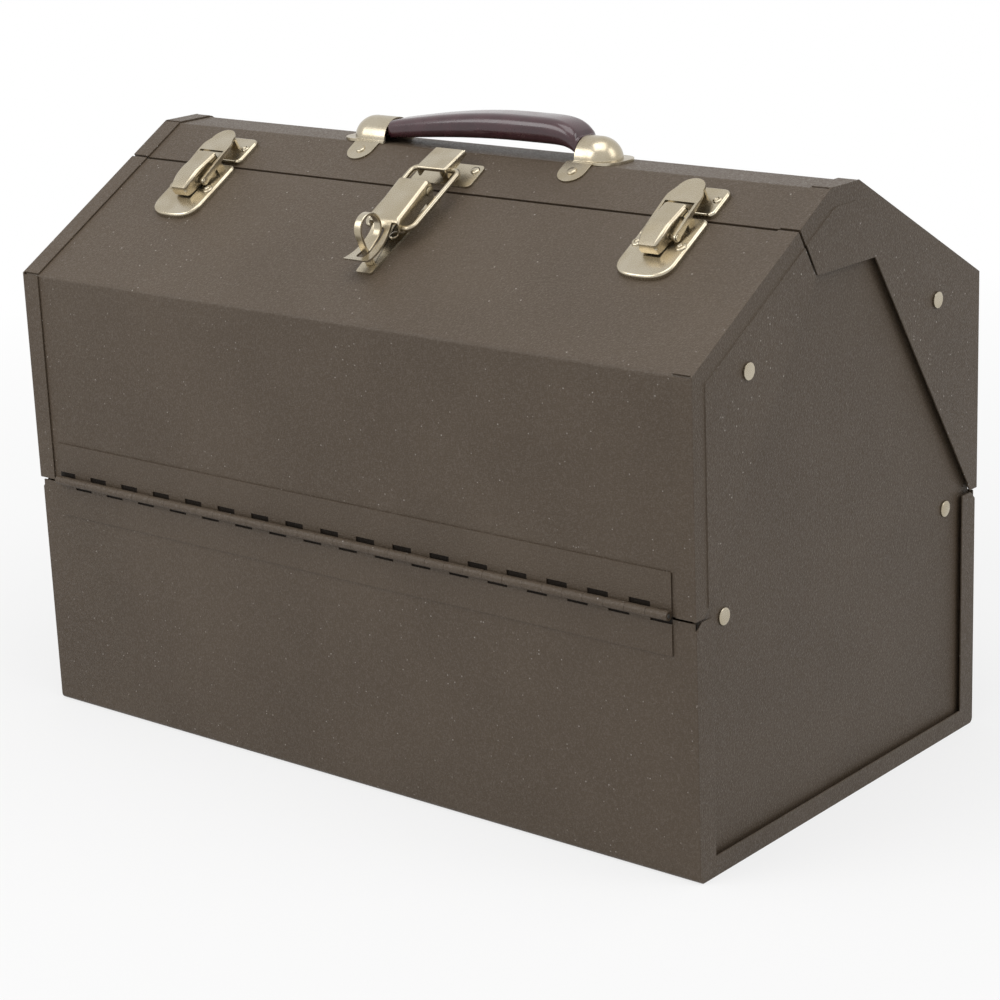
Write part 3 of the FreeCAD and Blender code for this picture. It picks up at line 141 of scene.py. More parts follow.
# Wrinkle paint: fine crinkled ridges, their tops painted lighter as painted highlight, with pale flecks painted in
# as glints.
def wrinklePaint(name, paintSet):
    material, tree, shader = startMaterial(name)
    place = addNode(tree, "ShaderNodeTexCoord").outputs["Object"]
    ridge = addNode(tree, "ShaderNodeTexNoise", {
        "Vector": place, "Scale": paintSet["ridgeScale"], "Detail": 3.0, "Roughness": 0.55,
        "Distortion": 0.6}).outputs[0]
    pit = addNode(tree, "ShaderNodeTexVoronoi", {
        "Vector": place, "Scale": paintSet["pitScale"]}, feature="SMOOTH_F1").outputs["Distance"]
    cloud = addNode(tree, "ShaderNodeTexNoise", {
        "Vector": place, "Scale": paintSet["cloudScale"], "Detail": 4.0}).outputs[0]
    shade = rescale(tree, cloud, 0.3, 0.7, 0.0, 1.0)
    colour = mixColours(tree, shade, paintSet["dark"], paintSet["light"])
    # Ridge tops painted lighter: painted highlight where the crinkles catch the light.
    crestHighlight = rescale(tree, ridge, 0.48, 0.72, 0.0, paintSet["crestHighlightShare"])
    colour = mixColours(tree, crestHighlight, colour, paintSet["crestHighlight"])
    # Pale flecks: painted glints, where single wrinkles would catch a lamp.
    cell = addNode(tree, "ShaderNodeTexVoronoi", {"Vector": place, "Scale": paintSet["glintScale"]})
    lucky = rescale(tree, cell.outputs["Color"], paintSet["glintFrom"], paintSet["glintFrom"] + 0.02, 0, 1)
    close = rescale(tree, cell.outputs["Distance"], 0.18, 0.34, 1.0, 0.0)
    glint = addNode(tree, "ShaderNodeMath", {0: lucky, 1: close}, operation="MULTIPLY").outputs[0]
    colour = mixColours(tree, glint, colour, paintSet["glint"])
    tree.links.new(colour, shader.inputs["Base Color"])
    rough = rescale(tree, ridge, 0.35, 0.7, paintSet["roughHigh"], paintSet["roughLow"])
    tree.links.new(rough, shader.inputs["Roughness"])
    shader.inputs["Specular IOR Level"].default_value = paintSet["specular"]
    height = addNode(tree, "ShaderNodeMath", {0: ridge, 1: pit}, operation="ADD").outputs[0]
    bump = addNode(tree, "ShaderNodeBump", {
        "Height": height, "Strength": paintSet["bump"], "Distance": paintSet["bumpHigh"]})
    tree.links.new(bump.outputs[0], shader.inputs["Normal"])
    return material


# Dull nickel plate: cloudy sheen, fine scratches and a little yellow tarnish.
def nickelPlate(name, plateSet):
    material, tree, shader = startMaterial(name)
    place = addNode(tree, "ShaderNodeTexCoord").outputs["Object"]
    cloud = addNode(tree, "ShaderNodeTexNoise", {
        "Vector": place, "Scale": plateSet["cloudScale"], "Detail": 5.0}).outputs[0]
    colour = mixColours(tree, rescale(tree, cloud, 0.35, 0.65, 0, 1), plateSet["clean"], plateSet["tarnish"])
    tree.links.new(colour, shader.inputs["Base Color"])
    stretch = addNode(tree, "ShaderNodeMapping", {"Vector": place, "Scale": plateSet["scratchStretch"]})
    scratch = addNode(tree, "ShaderNodeTexNoise", {
        "Vector": stretch.outputs[0], "Scale": plateSet["scratchScale"], "Detail": 2.0}).outputs[0]
    both = addNode(tree, "ShaderNodeMath", {0: cloud, 1: scratch}, operation="ADD").outputs[0]
    rough = rescale(tree, both, 0.8, 1.2, plateSet["roughLow"], plateSet["roughHigh"])
    tree.links.new(rough, shader.inputs["Roughness"])
    shader.inputs["Metallic"].default_value = 1.0
    bump = addNode(tree, "ShaderNodeBump", {
        "Height": scratch, "Strength": plateSet["bump"], "Distance": plateSet["bumpHigh"]})
    tree.links.new(bump.outputs[0], shader.inputs["Normal"])
    return material


# Grip vinyl: glossy and dark, faintly mottled, with soft dents in its skin.
def gripVinyl(vinylSet):
    material, tree, shader = startMaterial("grip vinyl")
    place = addNode(tree, "ShaderNodeTexCoord").outputs["Object"]
    mottle = addNode(tree, "ShaderNodeTexNoise", {
        "Vector": place, "Scale": vinylSet["mottleScale"], "Detail": 4.0}).outputs[0]
    colour = mixColours(tree, rescale(tree, mottle, 0.35, 0.65, 0, 1), vinylSet["dark"], vinylSet["light"])
    tree.links.new(colour, shader.inputs["Base Color"])
    dent = addNode(tree, "ShaderNodeTexNoise", {
        "Vector": place, "Scale": vinylSet["dentScale"], "Detail": 1.0}).outputs[0]
    rough = rescale(tree, mottle, 0.3, 0.7, vinylSet["roughLow"], vinylSet["roughHigh"])
    tree.links.new(rough, shader.inputs["Roughness"])
    shader.inputs["Coat Weight"].default_value = vinylSet["coat"]
    shader.inputs["Coat Roughness"].default_value = vinylSet["coatRoughness"]
    bump = addNode(tree, "ShaderNodeBump", {
        "Height": dent, "Strength": vinylSet["bump"], "Distance": vinylSet["bumpHigh"]})
    tree.links.new(bump.outputs[0], shader.inputs["Normal"])
    return material


caseWrinkle = {
    "dark": (0.062, 0.0435, 0.0275, 1), "light": (0.074, 0.053, 0.0345, 1),
    "crestHighlight": (0.150, 0.122, 0.097, 1), "crestHighlightShare": 0.34, "glint": (0.30, 0.27, 0.24, 1),
    "ridgeScale": 980.0, "pitScale": 1400.0, "cloudScale": 14.0, "glintScale": 620.0,
    "glintFrom": 0.9, "roughLow": 0.34, "roughHigh": 0.6, "specular": 0.32,
    "bump": 0.75, "bumpHigh": 0.00028,
}
trayWrinkle = {
    **caseWrinkle, "crestHighlightShare": 0.15, "glint": (0.10, 0.085, 0.07, 1), "ridgeScale": 500.0,
    "pitScale": 700.0, "bump": 0.2, "roughLow": 0.34, "roughHigh": 0.48,
}
# Window shade paint: near-black painted shade for the thin sheets behind the hinge windows, standing in for the dark
# gap seen through them.
windowShadePaint = {
    **caseWrinkle, "dark": (0.010, 0.0075, 0.0055, 1), "light": (0.016, 0.012, 0.009, 1),
    "crestHighlightShare": 0.05, "glint": (0.02, 0.017, 0.014, 1), "specular": 0.1,
}
fittingNickel = {
    "clean": (0.47, 0.42, 0.325, 1), "tarnish": (0.385, 0.33, 0.235, 1), "cloudScale": 70.0,
    "scratchStretch": (1.0, 6.0, 6.0), "scratchScale": 900.0, "roughLow": 0.20, "roughHigh": 0.34,
    "bump": 0.05, "bumpHigh": 0.00002,
}
armZinc = {
    **fittingNickel, "clean": (0.42, 0.42, 0.41, 1), "tarnish": (0.30, 0.30, 0.31, 1),
    "cloudScale": 160.0, "roughLow": 0.32, "roughHigh": 0.5,
}
gripSkin = {
    "dark": (0.034, 0.0085, 0.0125, 1), "light": (0.052, 0.015, 0.0205, 1), "mottleScale": 90.0,
    "dentScale": 45.0, "roughLow": 0.2, "roughHigh": 0.32, "coat": 0.35, "coatRoughness": 0.05,
    "bump": 0.25, "bumpHigh": 0.0008,
}
finishes = {
    "wrinkle_paint": wrinklePaint("brown wrinkle paint", caseWrinkle),
    "painted_steel": wrinklePaint("brown tray paint", trayWrinkle),
    "nickel_plate": nickelPlate("dull nickel plate", fittingNickel),
    "zinc_steel": nickelPlate("zinc plated steel", armZinc),
    "grip_vinyl": gripVinyl(gripSkin),
}
# This near-black paint for the hinge windows is painted shade, not dirt.
windowShade = wrinklePaint("painted window shade", windowShadePaint)
print("materials made")


# Every rigid piece: the frame's own mesh, merged, with its edges softly broken.
edgeSet = {
    "wrinkle_paint": 0.35, "painted_steel": 0.25, "nickel_plate": 0.22, "zinc_steel": 0.25,
    "grip_vinyl": 0.4, "segments": 2, "sharpFrom": math.radians(33), "smoothTo": math.radians(38),
    "flat": math.radians(0.6), "merge": 1e-6,
}
scene = bpy.context.scene


def mergedShape(node):
    shape = bmesh.new()
    shape.from_mesh(frame["nodes"][node].data)
    bmesh.ops.remove_doubles(shape, verts=shape.verts, dist=edgeSet["merge"])
    bmesh.ops.dissolve_limit(shape, angle_limit=edgeSet["flat"], verts=shape.verts, edges=shape.edges)
    return shape


def meshFrom(name, shape):
    mesh = bpy.data.meshes.new(name + "_mesh")
    shape.verts.index_update()
    corners = [v.co.copy() for v in shape.verts]
    mesh.from_pydata(corners, [], [[v.index for v in face.verts] for face in shape.faces])
    shape.free()
    return mesh


def bakeModifiers(piece):
    graph = bpy.context.evaluated_depsgraph_get()
    mesh = bpy.data.meshes.new_from_object(piece.evaluated_get(graph))
    piece.modifiers.clear()
    piece.data = mesh
    return mesh


def shadeByAngle(mesh, angle=None):
    mesh.shade_smooth()
    mesh.set_sharp_from_angle(angle=angle or edgeSet["smoothTo"])


def placePiece(name, mesh, node):
    piece = bpy.data.objects.new(name, mesh)
    scene.collection.objects.link(piece)
    if not mesh.materials:
        mesh.materials.append(finishes[slotOf[node]])
    return piece


def breakEdges(piece, width, segments=None, angle=None):
    bevel = piece.modifiers.new("Broken edges", "BEVEL")
    bevel.width = width * millimetre
    bevel.segments = segments or edgeSet["segments"]
    bevel.limit_method = "ANGLE"
    bevel.angle_limit = edgeSet["sharpFrom"]
    bevel.use_clamp_overlap = True
    shadeByAngle(bakeModifiers(piece), angle)
    weigh = piece.modifiers.new("Flat faces first", "WEIGHTED_NORMAL")
    weigh.keep_sharp = True
    bakeModifiers(piece)


def joinFrame(piece, *nodes):
    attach(piece, bodyOf[nodes[0]])
    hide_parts(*nodes)
    dressed.update(nodes)


def onSlope(across, up, off):
    knee = Vector((0, -caseSet["halfDeep"], caseSet["kneeHeight"]))
    return knee + Vector((across, 0, 0)) * millimetre + (slopeUp * up + slopeOut * off) * millimetre


def slopeReading(point):
    rise = point - Vector((0, -caseSet["halfDeep"], caseSet["kneeHeight"]))
    return point.x / millimetre, rise.dot(slopeUp) / millimetre, rise.dot(slopeOut) / millimetre


# Rings of points joined into a skin, capped at both ends or closed on itself.
def skinRings(shape, rings, closed=False):
    rows = [[shape.verts.new(point) for point in ring] for ring in rings]
    count = len(rows[0])
    pairs = list(zip(rows, rows[1:])) + ([(rows[-1], rows[0])] if closed else [])
    for low, high in pairs:
        for i in range(count):
            j = (i + 1) % count
            shape.faces.new((low[i], low[j], high[j], high[i]))
    if not closed:
        shape.faces.new(list(reversed(rows[0])))
        shape.faces.new(rows[-1])


def addBox(shape, low, high):
    corners = bmesh.ops.create_cube(shape, size=1.0)["verts"]
    for corner in corners:
        across, up, off = (lo + (hi - lo) * (c + 0.5) for lo, hi, c in zip(low, high, corner.co))
        corner.co = onSlope(across, up, off)
    return corners


def cornerArc(centreX, centreY, radiusX, radiusY, first, last, steps, power=2.0):
    spots = []
    for i in range(steps + 1):
        angle = math.radians(first + (last - first) * i / steps)
        c, s = math.cos(angle), math.sin(angle)
        spots.append((centreX + math.copysign(abs(c) ** (2 / power), c) * radiusX,
                      centreY + math.copysign(abs(s) ** (2 / power), s) * radiusY))
    return spots


dressed = set()


# Latch plates and strikes: pressed sheet with a wide rolled rim.
plateSet = {
    "half": 17.0, "gauge": 0.0, "edge": 1.5, "rimSteps": 5, "cornerSteps": 6,
    "plate": {"low": 58.3, "high": 103.5, "rise": 3.2, "lowDeep": 13.0, "lowPower": 2.7, "corner": 3.2},
    "strike": {"low": 106.6, "high": 127.0, "rise": 3.0, "lowDeep": 3.2, "lowPower": 2.0, "corner": 4.2},
    "ear": {"inner": 7.4, "thick": 1.2, "up": 99.5, "off": 6.0, "half": 2.6},
    "nose": {"up": 120.0, "thick": 1.2, "half": 5.0, "top": 6.5},
}


def plateOutline(sizes, inset):
    half = plateSet["half"] - inset
    low, high = sizes["low"] + inset, sizes["high"] - inset
    corner = sizes["corner"] - inset
    deep = sizes["lowDeep"] - inset
    wide = half if sizes["lowDeep"] > 8 else deep
    steps = plateSet["cornerSteps"] * (3 if sizes["lowDeep"] > 8 else 1)
    spots = cornerArc(half - wide, low + deep, wide, deep, -90, 0, steps, sizes["lowPower"])
    spots += cornerArc(half - corner, high - corner, corner, corner, 0, 90, plateSet["cornerSteps"])
    spots += cornerArc(corner - half, high - corner, corner, corner, 90, 180, plateSet["cornerSteps"])
    spots += cornerArc(wide - half, low + deep, wide, deep, 180, 270, steps, sizes["lowPower"])
    return spots[:-1] if sizes["lowDeep"] > 8 else spots


def makePlate(node, kind, middle):
    sizes = plateSet[kind]
    rise, edge = sizes["rise"], plateSet["edge"]
    levels = [(0.0, 0.0), (0.0, rise - edge)]
    for i in range(1, plateSet["rimSteps"] + 1):
        turn = math.radians(90 * i / plateSet["rimSteps"])
        levels.append((edge * (1 - math.cos(turn)), rise - edge + edge * math.sin(turn)))
    shape = bmesh.new()
    rings = [[onSlope(middle + x, up, off) for x, up in plateOutline(sizes, inset)] for inset, off in levels]
    skinRings(shape, rings)
    if kind == "plate":
        ear = plateSet["ear"]
        for side in (-1, 1):
            inner, outer = sorted((side * ear["inner"], side * (ear["inner"] + ear["thick"])))
            addBox(shape, (middle + inner, ear["up"] - ear["half"], rise - 0.2),
                   (middle + outer, ear["up"] + ear["half"], ear["off"] + ear["half"]))
    else:
        nose = plateSet["nose"]
        addBox(shape, (middle - nose["half"], nose["up"], rise - 0.2),
               (middle + nose["half"], nose["up"] + nose["thick"], nose["top"]))
    bmesh.ops.recalc_face_normals(shape, faces=shape.faces)
    piece = placePiece(node + "_piece", meshFrom(node, shape), node)
    shadeByAngle(piece.data, math.radians(50))
    weigh = piece.modifiers.new("Flat faces first", "WEIGHTED_NORMAL")
    weigh.keep_sharp = True
    bakeModifiers(piece)
    joinFrame(piece, node)


latchAt = {"right": 163.0, "left": -163.0}
for side, middle in latchAt.items():
    makePlate("latch_plate_" + side, "plate", middle)
    makePlate("latch_strike_" + side, "strike", middle)
print("latch plates pressed")


# Levers and the hook: the frame's mesh with its long edges rolled over.
rollSet = {
    "latch_lever": {"half": 7.0, "above": 6.6, "roll": 1.8, "nose": 84.0, "noseEnd": 73.0, "noseShare": 0.74},
    "hasp_lever": {"half": 10.3, "above": 12.0, "roll": 1.7},
    "hasp_hook": {"half": 10.3, "above": 10.6, "roll": 1.4},
    "segments": 4,
}


def rollEdges(node, middle, sizes):
    shape = mergedShape(node)
    reading = {v: slopeReading(v.co) for v in shape.verts}

    def onSide(v):
        across, up, off = reading[v]
        return abs(abs(across - middle) - sizes["half"]) < 0.02 and off > sizes["above"]
    chosen = [edge for edge in shape.edges if all(onSide(v) for v in edge.verts)
              and (edge.verts[0].co.x > middle * millimetre) == (edge.verts[1].co.x > middle * millimetre)
              and len(edge.link_faces) == 2 and edge.calc_face_angle() > edgeSet["sharpFrom"]]
    bmesh.ops.bevel(shape, geom=chosen, offset=sizes["roll"] * millimetre, offset_type="OFFSET",
                    segments=rollSet["segments"], profile=0.5, affect="EDGES", clamp_overlap=False)
    if "nose" in sizes:
        span = sizes["nose"] - sizes["noseEnd"]
        for v in shape.verts:
            across, up, off = slopeReading(v.co)
            share = min(max((sizes["nose"] - up) / span, 0.0), 1.0)
            high = min(max((off - 4.6) / 4.4, 0.0), 1.0) * min(max((88.0 - up) / 11.8, 0.0), 1.0)
            v.co += (slopeOut * 1.2 - slopeUp * 3.4) * high * millimetre
            thin = 1 - (1 - sizes["noseShare"]) * share * share * (3 - 2 * share)
            v.co.x = (middle + (across - middle) * thin) * millimetre
    piece = placePiece(node + "_piece", meshFrom(node, shape), node)
    breakEdges(piece, edgeSet["nickel_plate"])
    return piece


for side, middle in latchAt.items():
    node = "latch_lever_" + side
    joinFrame(rollEdges(node, middle, rollSet["latch_lever"]), node)
joinFrame(rollEdges("hasp_hook", 0.0, rollSet["hasp_hook"]), "hasp_hook")


joinFrame(rollEdges("hasp_lever", 0.0, rollSet["hasp_lever"]), "hasp_lever")


# The hasp's plate narrows towards its low end, under the lever's tail.
footSet = {"below": 60.0, "share": 0.6, "raise": 2.2}


def makeHaspPlate():
    shape = mergedShape("hasp_plate")
    for v in shape.verts:
        across, up, off = slopeReading(v.co)
        if up < footSet["below"]:
            v.co.x *= footSet["share"]
            v.co += slopeUp * footSet["raise"] * millimetre
    piece = placePiece("hasp_plate_piece", meshFrom("hasp_plate", shape), "hasp_plate")
    breakEdges(piece, edgeSet["nickel_plate"])
    joinFrame(piece, "hasp_plate")


makeHaspPlate()


# Padlock eye: a strap bent to a teardrop, its legs together through the tail's slot.
eyeSet = {
    "up": 52.2, "off": 17.9, "radius": 7.8, "gauge": 1.5, "half": 2.3, "apex": (44.2, 9.0),
    "foot": (43.2, 1.4), "steps": 28, "round": 0.45,
}


def eyePath(sizes):
    centre, apex = Vector((sizes["up"], sizes["off"])), Vector(sizes["apex"])
    away = centre - apex
    half = math.acos(sizes["radius"] / away.length)
    base = math.atan2(-away.y, -away.x)
    path = []
    for i in range(sizes["steps"] + 1):
        turn = base + half + (2 * math.pi - 2 * half) * i / sizes["steps"]
        path.append(centre + sizes["radius"] * Vector((math.cos(turn), math.sin(turn))))
    foot = Vector(sizes["foot"])
    side = Vector((-(apex - foot).y, (apex - foot).x)).normalized() * sizes["gauge"] * 0.5
    leg = [foot - side, apex - side] if (path[0] - apex).dot(side) < 0 else [foot + side, apex + side]
    far = [apex * 2 - leg[1], foot * 2 - leg[0]]
    return leg + path + far


def makeEye(sizes):
    path = eyePath(sizes)
    rings = []
    for i, spot in enumerate(path):
        before, after = path[max(i - 1, 0)], path[min(i + 1, len(path) - 1)]
        along = (after - before).normalized()
        side = Vector((-along.y, along.x)) * sizes["gauge"] * 0.5
        ring = []
        for across, flank in ((-1, -1), (1, -1), (1, 1), (-1, 1)):
            point = spot + side * flank
            ring.append(onSlope(across * sizes["half"], point.x, point.y))
        rings.append(ring)
    shape = bmesh.new()
    skinRings(shape, rings)
    bmesh.ops.recalc_face_normals(shape, faces=shape.faces)
    piece = placePiece("padlock_eye_piece", meshFrom("padlock_eye", shape), "padlock_eye")
    breakEdges(piece, sizes["round"], 3, math.radians(50))
    joinFrame(piece, "padlock_eye")


makeEye(eyeSet)
print("padlock fittings bent")


# Rivets, by Geometry Nodes: a domed or hollow head, its shank and its tail.
rivetLengths = [
    "Head Radius", "Rim High", "Dome High", "Hollow Radius", "Hollow Deep", "Shank Radius",
    "Shank Long", "Tail Radius", "Tail High", "Shoulder Radius", "Shoulder From", "Shoulder Long",
]
rivetSet = {
    "plain": {"Head Radius": 2.7, "Rim High": 0.35, "Dome High": 0.75, "Hollow Radius": 0.0,
              "Hollow Deep": 0.0, "Shank Radius": 1.6, "Tail Radius": 2.4, "Tail High": 1.0},
    "hollow": {"Head Radius": 3.1, "Rim High": 0.3, "Dome High": 0.8, "Hollow Radius": 1.7,
               "Hollow Deep": 1.0, "Shank Radius": 1.6, "Tail Radius": 2.4, "Tail High": 1.0},
    "crater": {"Head Radius": 2.6, "Rim High": 0.3, "Dome High": 0.6, "Hollow Radius": 1.4,
               "Hollow Deep": 0.8, "Shank Radius": 1.6, "Tail Radius": 2.4, "Tail High": 1.0},
    "flat": {"Head Radius": 4.5, "Rim High": 0.9, "Dome High": 0.25, "Hollow Radius": 0.0,
             "Hollow Deep": 0.0, "Shank Radius": 2.6, "Tail Radius": 4.0, "Tail High": 1.2,
             "Shoulder Radius": 4.0},
    "segments": 32, "fillRings": 8,
}


def lathedDisc(tree, given, radius, top, high):
    disc = addNode(tree, "GeometryNodeMeshCylinder", {
        "Vertices": given["Segments"], "Radius": radius, "Depth": high}, fill_type="NGON").outputs[0]
    middle = reckon(tree, "SUBTRACT", top, reckon(tree, "MULTIPLY", high, 0.5))
    return moved(tree, disc, vectorOf(tree, z=middle))


def rivetTree(name, shoulder):
    tree, given = startTree(name, ["Segments", "Fill Rings"], rivetLengths)
    head = addNode(tree, "GeometryNodeMeshCylinder", {
        "Vertices": given["Segments"], "Fill Segments": given["Fill Rings"],
        "Radius": given["Head Radius"], "Depth": given["Rim High"]}, fill_type="TRIANGLE_FAN")
    place = addNode(tree, "ShaderNodeSeparateXYZ", {0: tree.nodes.new("GeometryNodeInputPosition").outputs[0]})
    reach = reckon(tree, "SQRT", reckon(tree, "ADD", reckon(tree, "MULTIPLY", place.outputs[0], place.outputs[0]),
                                        reckon(tree, "MULTIPLY", place.outputs[1], place.outputs[1])))
    share = reckon(tree, "DIVIDE", reach, given["Head Radius"])
    swell = reckon(tree, "SQRT", reckon(tree, "MAXIMUM", reckon(
        tree, "SUBTRACT", 1.0, reckon(tree, "MULTIPLY", share, share)), 0.0))
    dome = reckon(tree, "MULTIPLY", swell, given["Dome High"])
    hollow = addNode(tree, "ShaderNodeMapRange", {
        0: reach, 1: reckon(tree, "MULTIPLY", given["Hollow Radius"], 0.6), 2: given["Hollow Radius"],
        3: given["Hollow Deep"], 4: 0.0}, interpolation_type="SMOOTHSTEP").outputs[0]
    lift = reckon(tree, "SUBTRACT", dome, hollow)
    raised = addNode(tree, "GeometryNodeSetPosition", {
        "Geometry": head.outputs["Mesh"], "Selection": head.outputs["Top"],
        "Offset": vectorOf(tree, z=lift)}).outputs[0]
    shapes = [moved(tree, raised, vectorOf(tree, z=reckon(tree, "MULTIPLY", given["Rim High"], 0.5)))]
    shapes.append(lathedDisc(tree, given, given["Shank Radius"], 0.0, given["Shank Long"]))
    below = reckon(tree, "MULTIPLY", given["Shank Long"], -1.0)
    shapes.append(lathedDisc(tree, given, given["Tail Radius"], below, given["Tail High"]))
    if shoulder:
        above = reckon(tree, "MULTIPLY", given["Shoulder From"], -1.0)
        shapes.append(lathedDisc(tree, given, given["Shoulder Radius"], above, given["Shoulder Long"]))
    whole = joined(tree, *shapes)
    out = addNode(tree, "GeometryNodeInputNamedAttribute", {"Name": "out"}, data_type="FLOAT_VECTOR")
    turn = addNode(tree, "FunctionNodeAlignRotationToVector", {"Vector": out.outputs[0]}, axis="Z")
    spread = addNode(tree, "GeometryNodeInstanceOnPoints", {
        "Points": given["Spots"], "Instance": whole, "Rotation": turn.outputs[0]})
    endTree(tree, finished(tree, spread.outputs[0], given["Finish"]))
    return tree


rivetTrees = {False: rivetTree("small rivets", False), True: rivetTree("linkage rivets", True)}


# Where a node's rivets sit: head's foot, way out and shank, read from the frame.
def rivetSpots(node, headHigh, tailHigh, outOf):
    shape = mergedShape(node)
    left = set(shape.verts)
    spots = []
    while left:
        island, edge = set(), [left.pop()]
        while edge:
            v = edge.pop()
            island.add(v)
            near = {e.other_vert(v) for e in v.link_edges} & left
            left -= near
            edge += near
        centre = sum((v.co for v in island), Vector()) / len(island)
        out = outOf(centre)
        heights = [v.co.dot(out) for v in island]
        high, low = max(heights), min(heights)
        tops = [v.co for v in island if v.co.dot(out) > high - 1e-6]
        top = sum(tops, Vector()) / len(tops)
        spots.append((top - out * headHigh * millimetre, out,
                      (high - low) / millimetre - headHigh - tailHigh))
    shape.free()
    return sorted(spots, key=lambda row: tuple(row[0]))


def slopeWay(centre):
    return slopeOut if centre.y < 0 else rearOut


def endWay(centre):
    return Vector((math.copysign(1.0, centre.x), 0, 0))


def makeRivets(node, style, headHigh, outOf, shoulder=None):
    sizes = rivetSet[style]
    spots = rivetSpots(node, headHigh, sizes["Tail High"], outOf)
    mesh = bpy.data.meshes.new(node + "_spots")
    mesh.from_pydata([place for place, out, shank in spots], [], [])
    attribute = mesh.attributes.new("out", "FLOAT_VECTOR", "POINT")
    for row, (place, out, shank) in zip(attribute.data, spots):
        row.vector = out
    piece = bpy.data.objects.new(node + "_piece", mesh)
    scene.collection.objects.link(piece)
    modifier = piece.modifiers.new("Rivets", "NODES")
    modifier.node_group = rivetTrees[bool(shoulder)]
    values = {label: number * millimetre for label, number in sizes.items()}
    values["Shank Long"] = spots[0][2] * millimetre
    if shoulder:
        values["Shoulder From"], values["Shoulder Long"] = (number * millimetre for number in shoulder)
    values["Segments"], values["Fill Rings"] = rivetSet["segments"], rivetSet["fillRings"]
    values["Finish"] = finishes[slotOf[node]]
    setInputs(modifier, values)
    bakeModifiers(piece)
    if style == "flat":
        breakEdges(piece, 0.25)
    else:
        shadeByAngle(piece.data, math.radians(50))
    joinFrame(piece, node)


makeRivets("latch_rivets", "hollow", 1.0, slopeWay)
makeRivets("strike_rivets", "crater", 1.0, slopeWay)
for node in ("hasp_rivets", "keeper_rivets", "handle_rivets"):
    makeRivets(node, "plain", 1.0, slopeWay)
makeRivets("arm_pivot_rivets", "flat", 1.2, endWay)
print("rivets set")


# Piano hinges, by Geometry Nodes: each leaf is a strip, its tabs and its knuckles.
hingeLengths = [
    "Leaf Wide", "Leaf Gauge", "Knuckle", "Joint", "Barrel Radius", "Bore Radius", "Barrel Off",
    "Window High", "First Knuckle", "Back Gauge",
]
hingeSet = {
    "Leaf Wide": 21.3, "Leaf Gauge": 0.8, "Knuckle": 12.7, "Joint": 0.12, "Barrel Radius": 2.45,
    "Bore Radius": 1.2, "Barrel Off": 2.85, "knuckles": 17, "segments": 28,
    "start": -214.7, "height": 138.0, "wall": -131.0, "windowOver": 2.1, "windowUnder": 2.4,
    "edge": 0.12, "Back Gauge": 0.12,
}


def hingeTree():
    tree, given = startTree("piano hinge leaf", ["Knuckles", "Segments", "Way"], hingeLengths, ["Window Finish"])
    way = given["Way"]
    pitch = reckon(tree, "MULTIPLY", given["Knuckle"], 2.0)
    whole = reckon(tree, "MULTIPLY", pitch, given["Knuckles"])
    window = reckon(tree, "ADD", given["Barrel Radius"], given["Window High"])
    leafOff = reckon(tree, "SUBTRACT", given["Barrel Off"], reckon(tree, "MULTIPLY", given["Leaf Gauge"], 0.5))
    wide = reckon(tree, "SUBTRACT", given["Leaf Wide"], window)
    strip = addNode(tree, "GeometryNodeMeshCube", {
        "Size": vectorOf(tree, whole, given["Leaf Gauge"], wide)}).outputs[0]
    middle = reckon(tree, "MULTIPLY", way, reckon(tree, "MULTIPLY", reckon(
        tree, "ADD", window, given["Leaf Wide"]), 0.5))
    strip = moved(tree, strip, vectorOf(tree, reckon(tree, "MULTIPLY", whole, 0.5), leafOff, middle))
    long = reckon(tree, "SUBTRACT", given["Knuckle"], given["Joint"])
    tab = addNode(tree, "GeometryNodeMeshCube", {
        "Size": vectorOf(tree, long, given["Leaf Gauge"], window)}).outputs[0]
    tab = moved(tree, tab, vectorOf(tree, 0.0, leafOff, reckon(
        tree, "MULTIPLY", way, reckon(tree, "MULTIPLY", window, 0.5))))
    wall = reckon(tree, "SUBTRACT", given["Barrel Radius"], given["Bore Radius"])
    path = addNode(tree, "GeometryNodeCurvePrimitiveCircle", {
        "Resolution": given["Segments"],
        "Radius": reckon(tree, "SUBTRACT", given["Barrel Radius"], reckon(tree, "MULTIPLY", wall, 0.5))})
    section = addNode(tree, "GeometryNodeCurvePrimitiveQuadrilateral", {"Width": wall, "Height": long})
    barrel = addNode(tree, "GeometryNodeCurveToMesh", {
        "Curve": path.outputs[0], "Profile Curve": section.outputs[0]}).outputs[0]
    barrel = addNode(tree, "GeometryNodeTransform", {
        "Geometry": barrel, "Rotation": (0.0, math.radians(90), 0.0)}).outputs[0]
    # Behind each window, a thin sheet in the window shade finish: painted shade where the hinge opens onto a dark
    # gap.
    back = addNode(tree, "GeometryNodeMeshCube", {
        "Size": vectorOf(tree, given["Knuckle"], given["Back Gauge"], window)}).outputs[0]
    backOff = reckon(tree, "SUBTRACT", given["Barrel Off"], reckon(tree, "MULTIPLY", given["Back Gauge"], 0.5))
    back = moved(tree, back, vectorOf(tree, 0.0, backOff, reckon(
        tree, "MULTIPLY", way, reckon(tree, "MULTIPLY", window, 0.5))))

    def rowOf(shape, share):
        first = reckon(tree, "MULTIPLY", given["Knuckle"], share)
        row = addNode(tree, "GeometryNodeMeshLine", {
            "Count": given["Knuckles"], "Start Location": vectorOf(tree, first),
            "Offset": vectorOf(tree, pitch)}, mode="OFFSET").outputs[0]
        return addNode(tree, "GeometryNodeInstanceOnPoints", {"Points": row, "Instance": shape}).outputs[0]
    knuckles = rowOf(joined(tree, tab, barrel), reckon(tree, "ADD", given["First Knuckle"], 0.5))
    backs = rowOf(back, reckon(tree, "SUBTRACT", 1.5, given["First Knuckle"]))
    painted = finished(tree, joined(tree, strip, knuckles), given["Finish"])
    endTree(tree, joined(tree, painted, finished(tree, backs, given["Window Finish"])))
    return tree


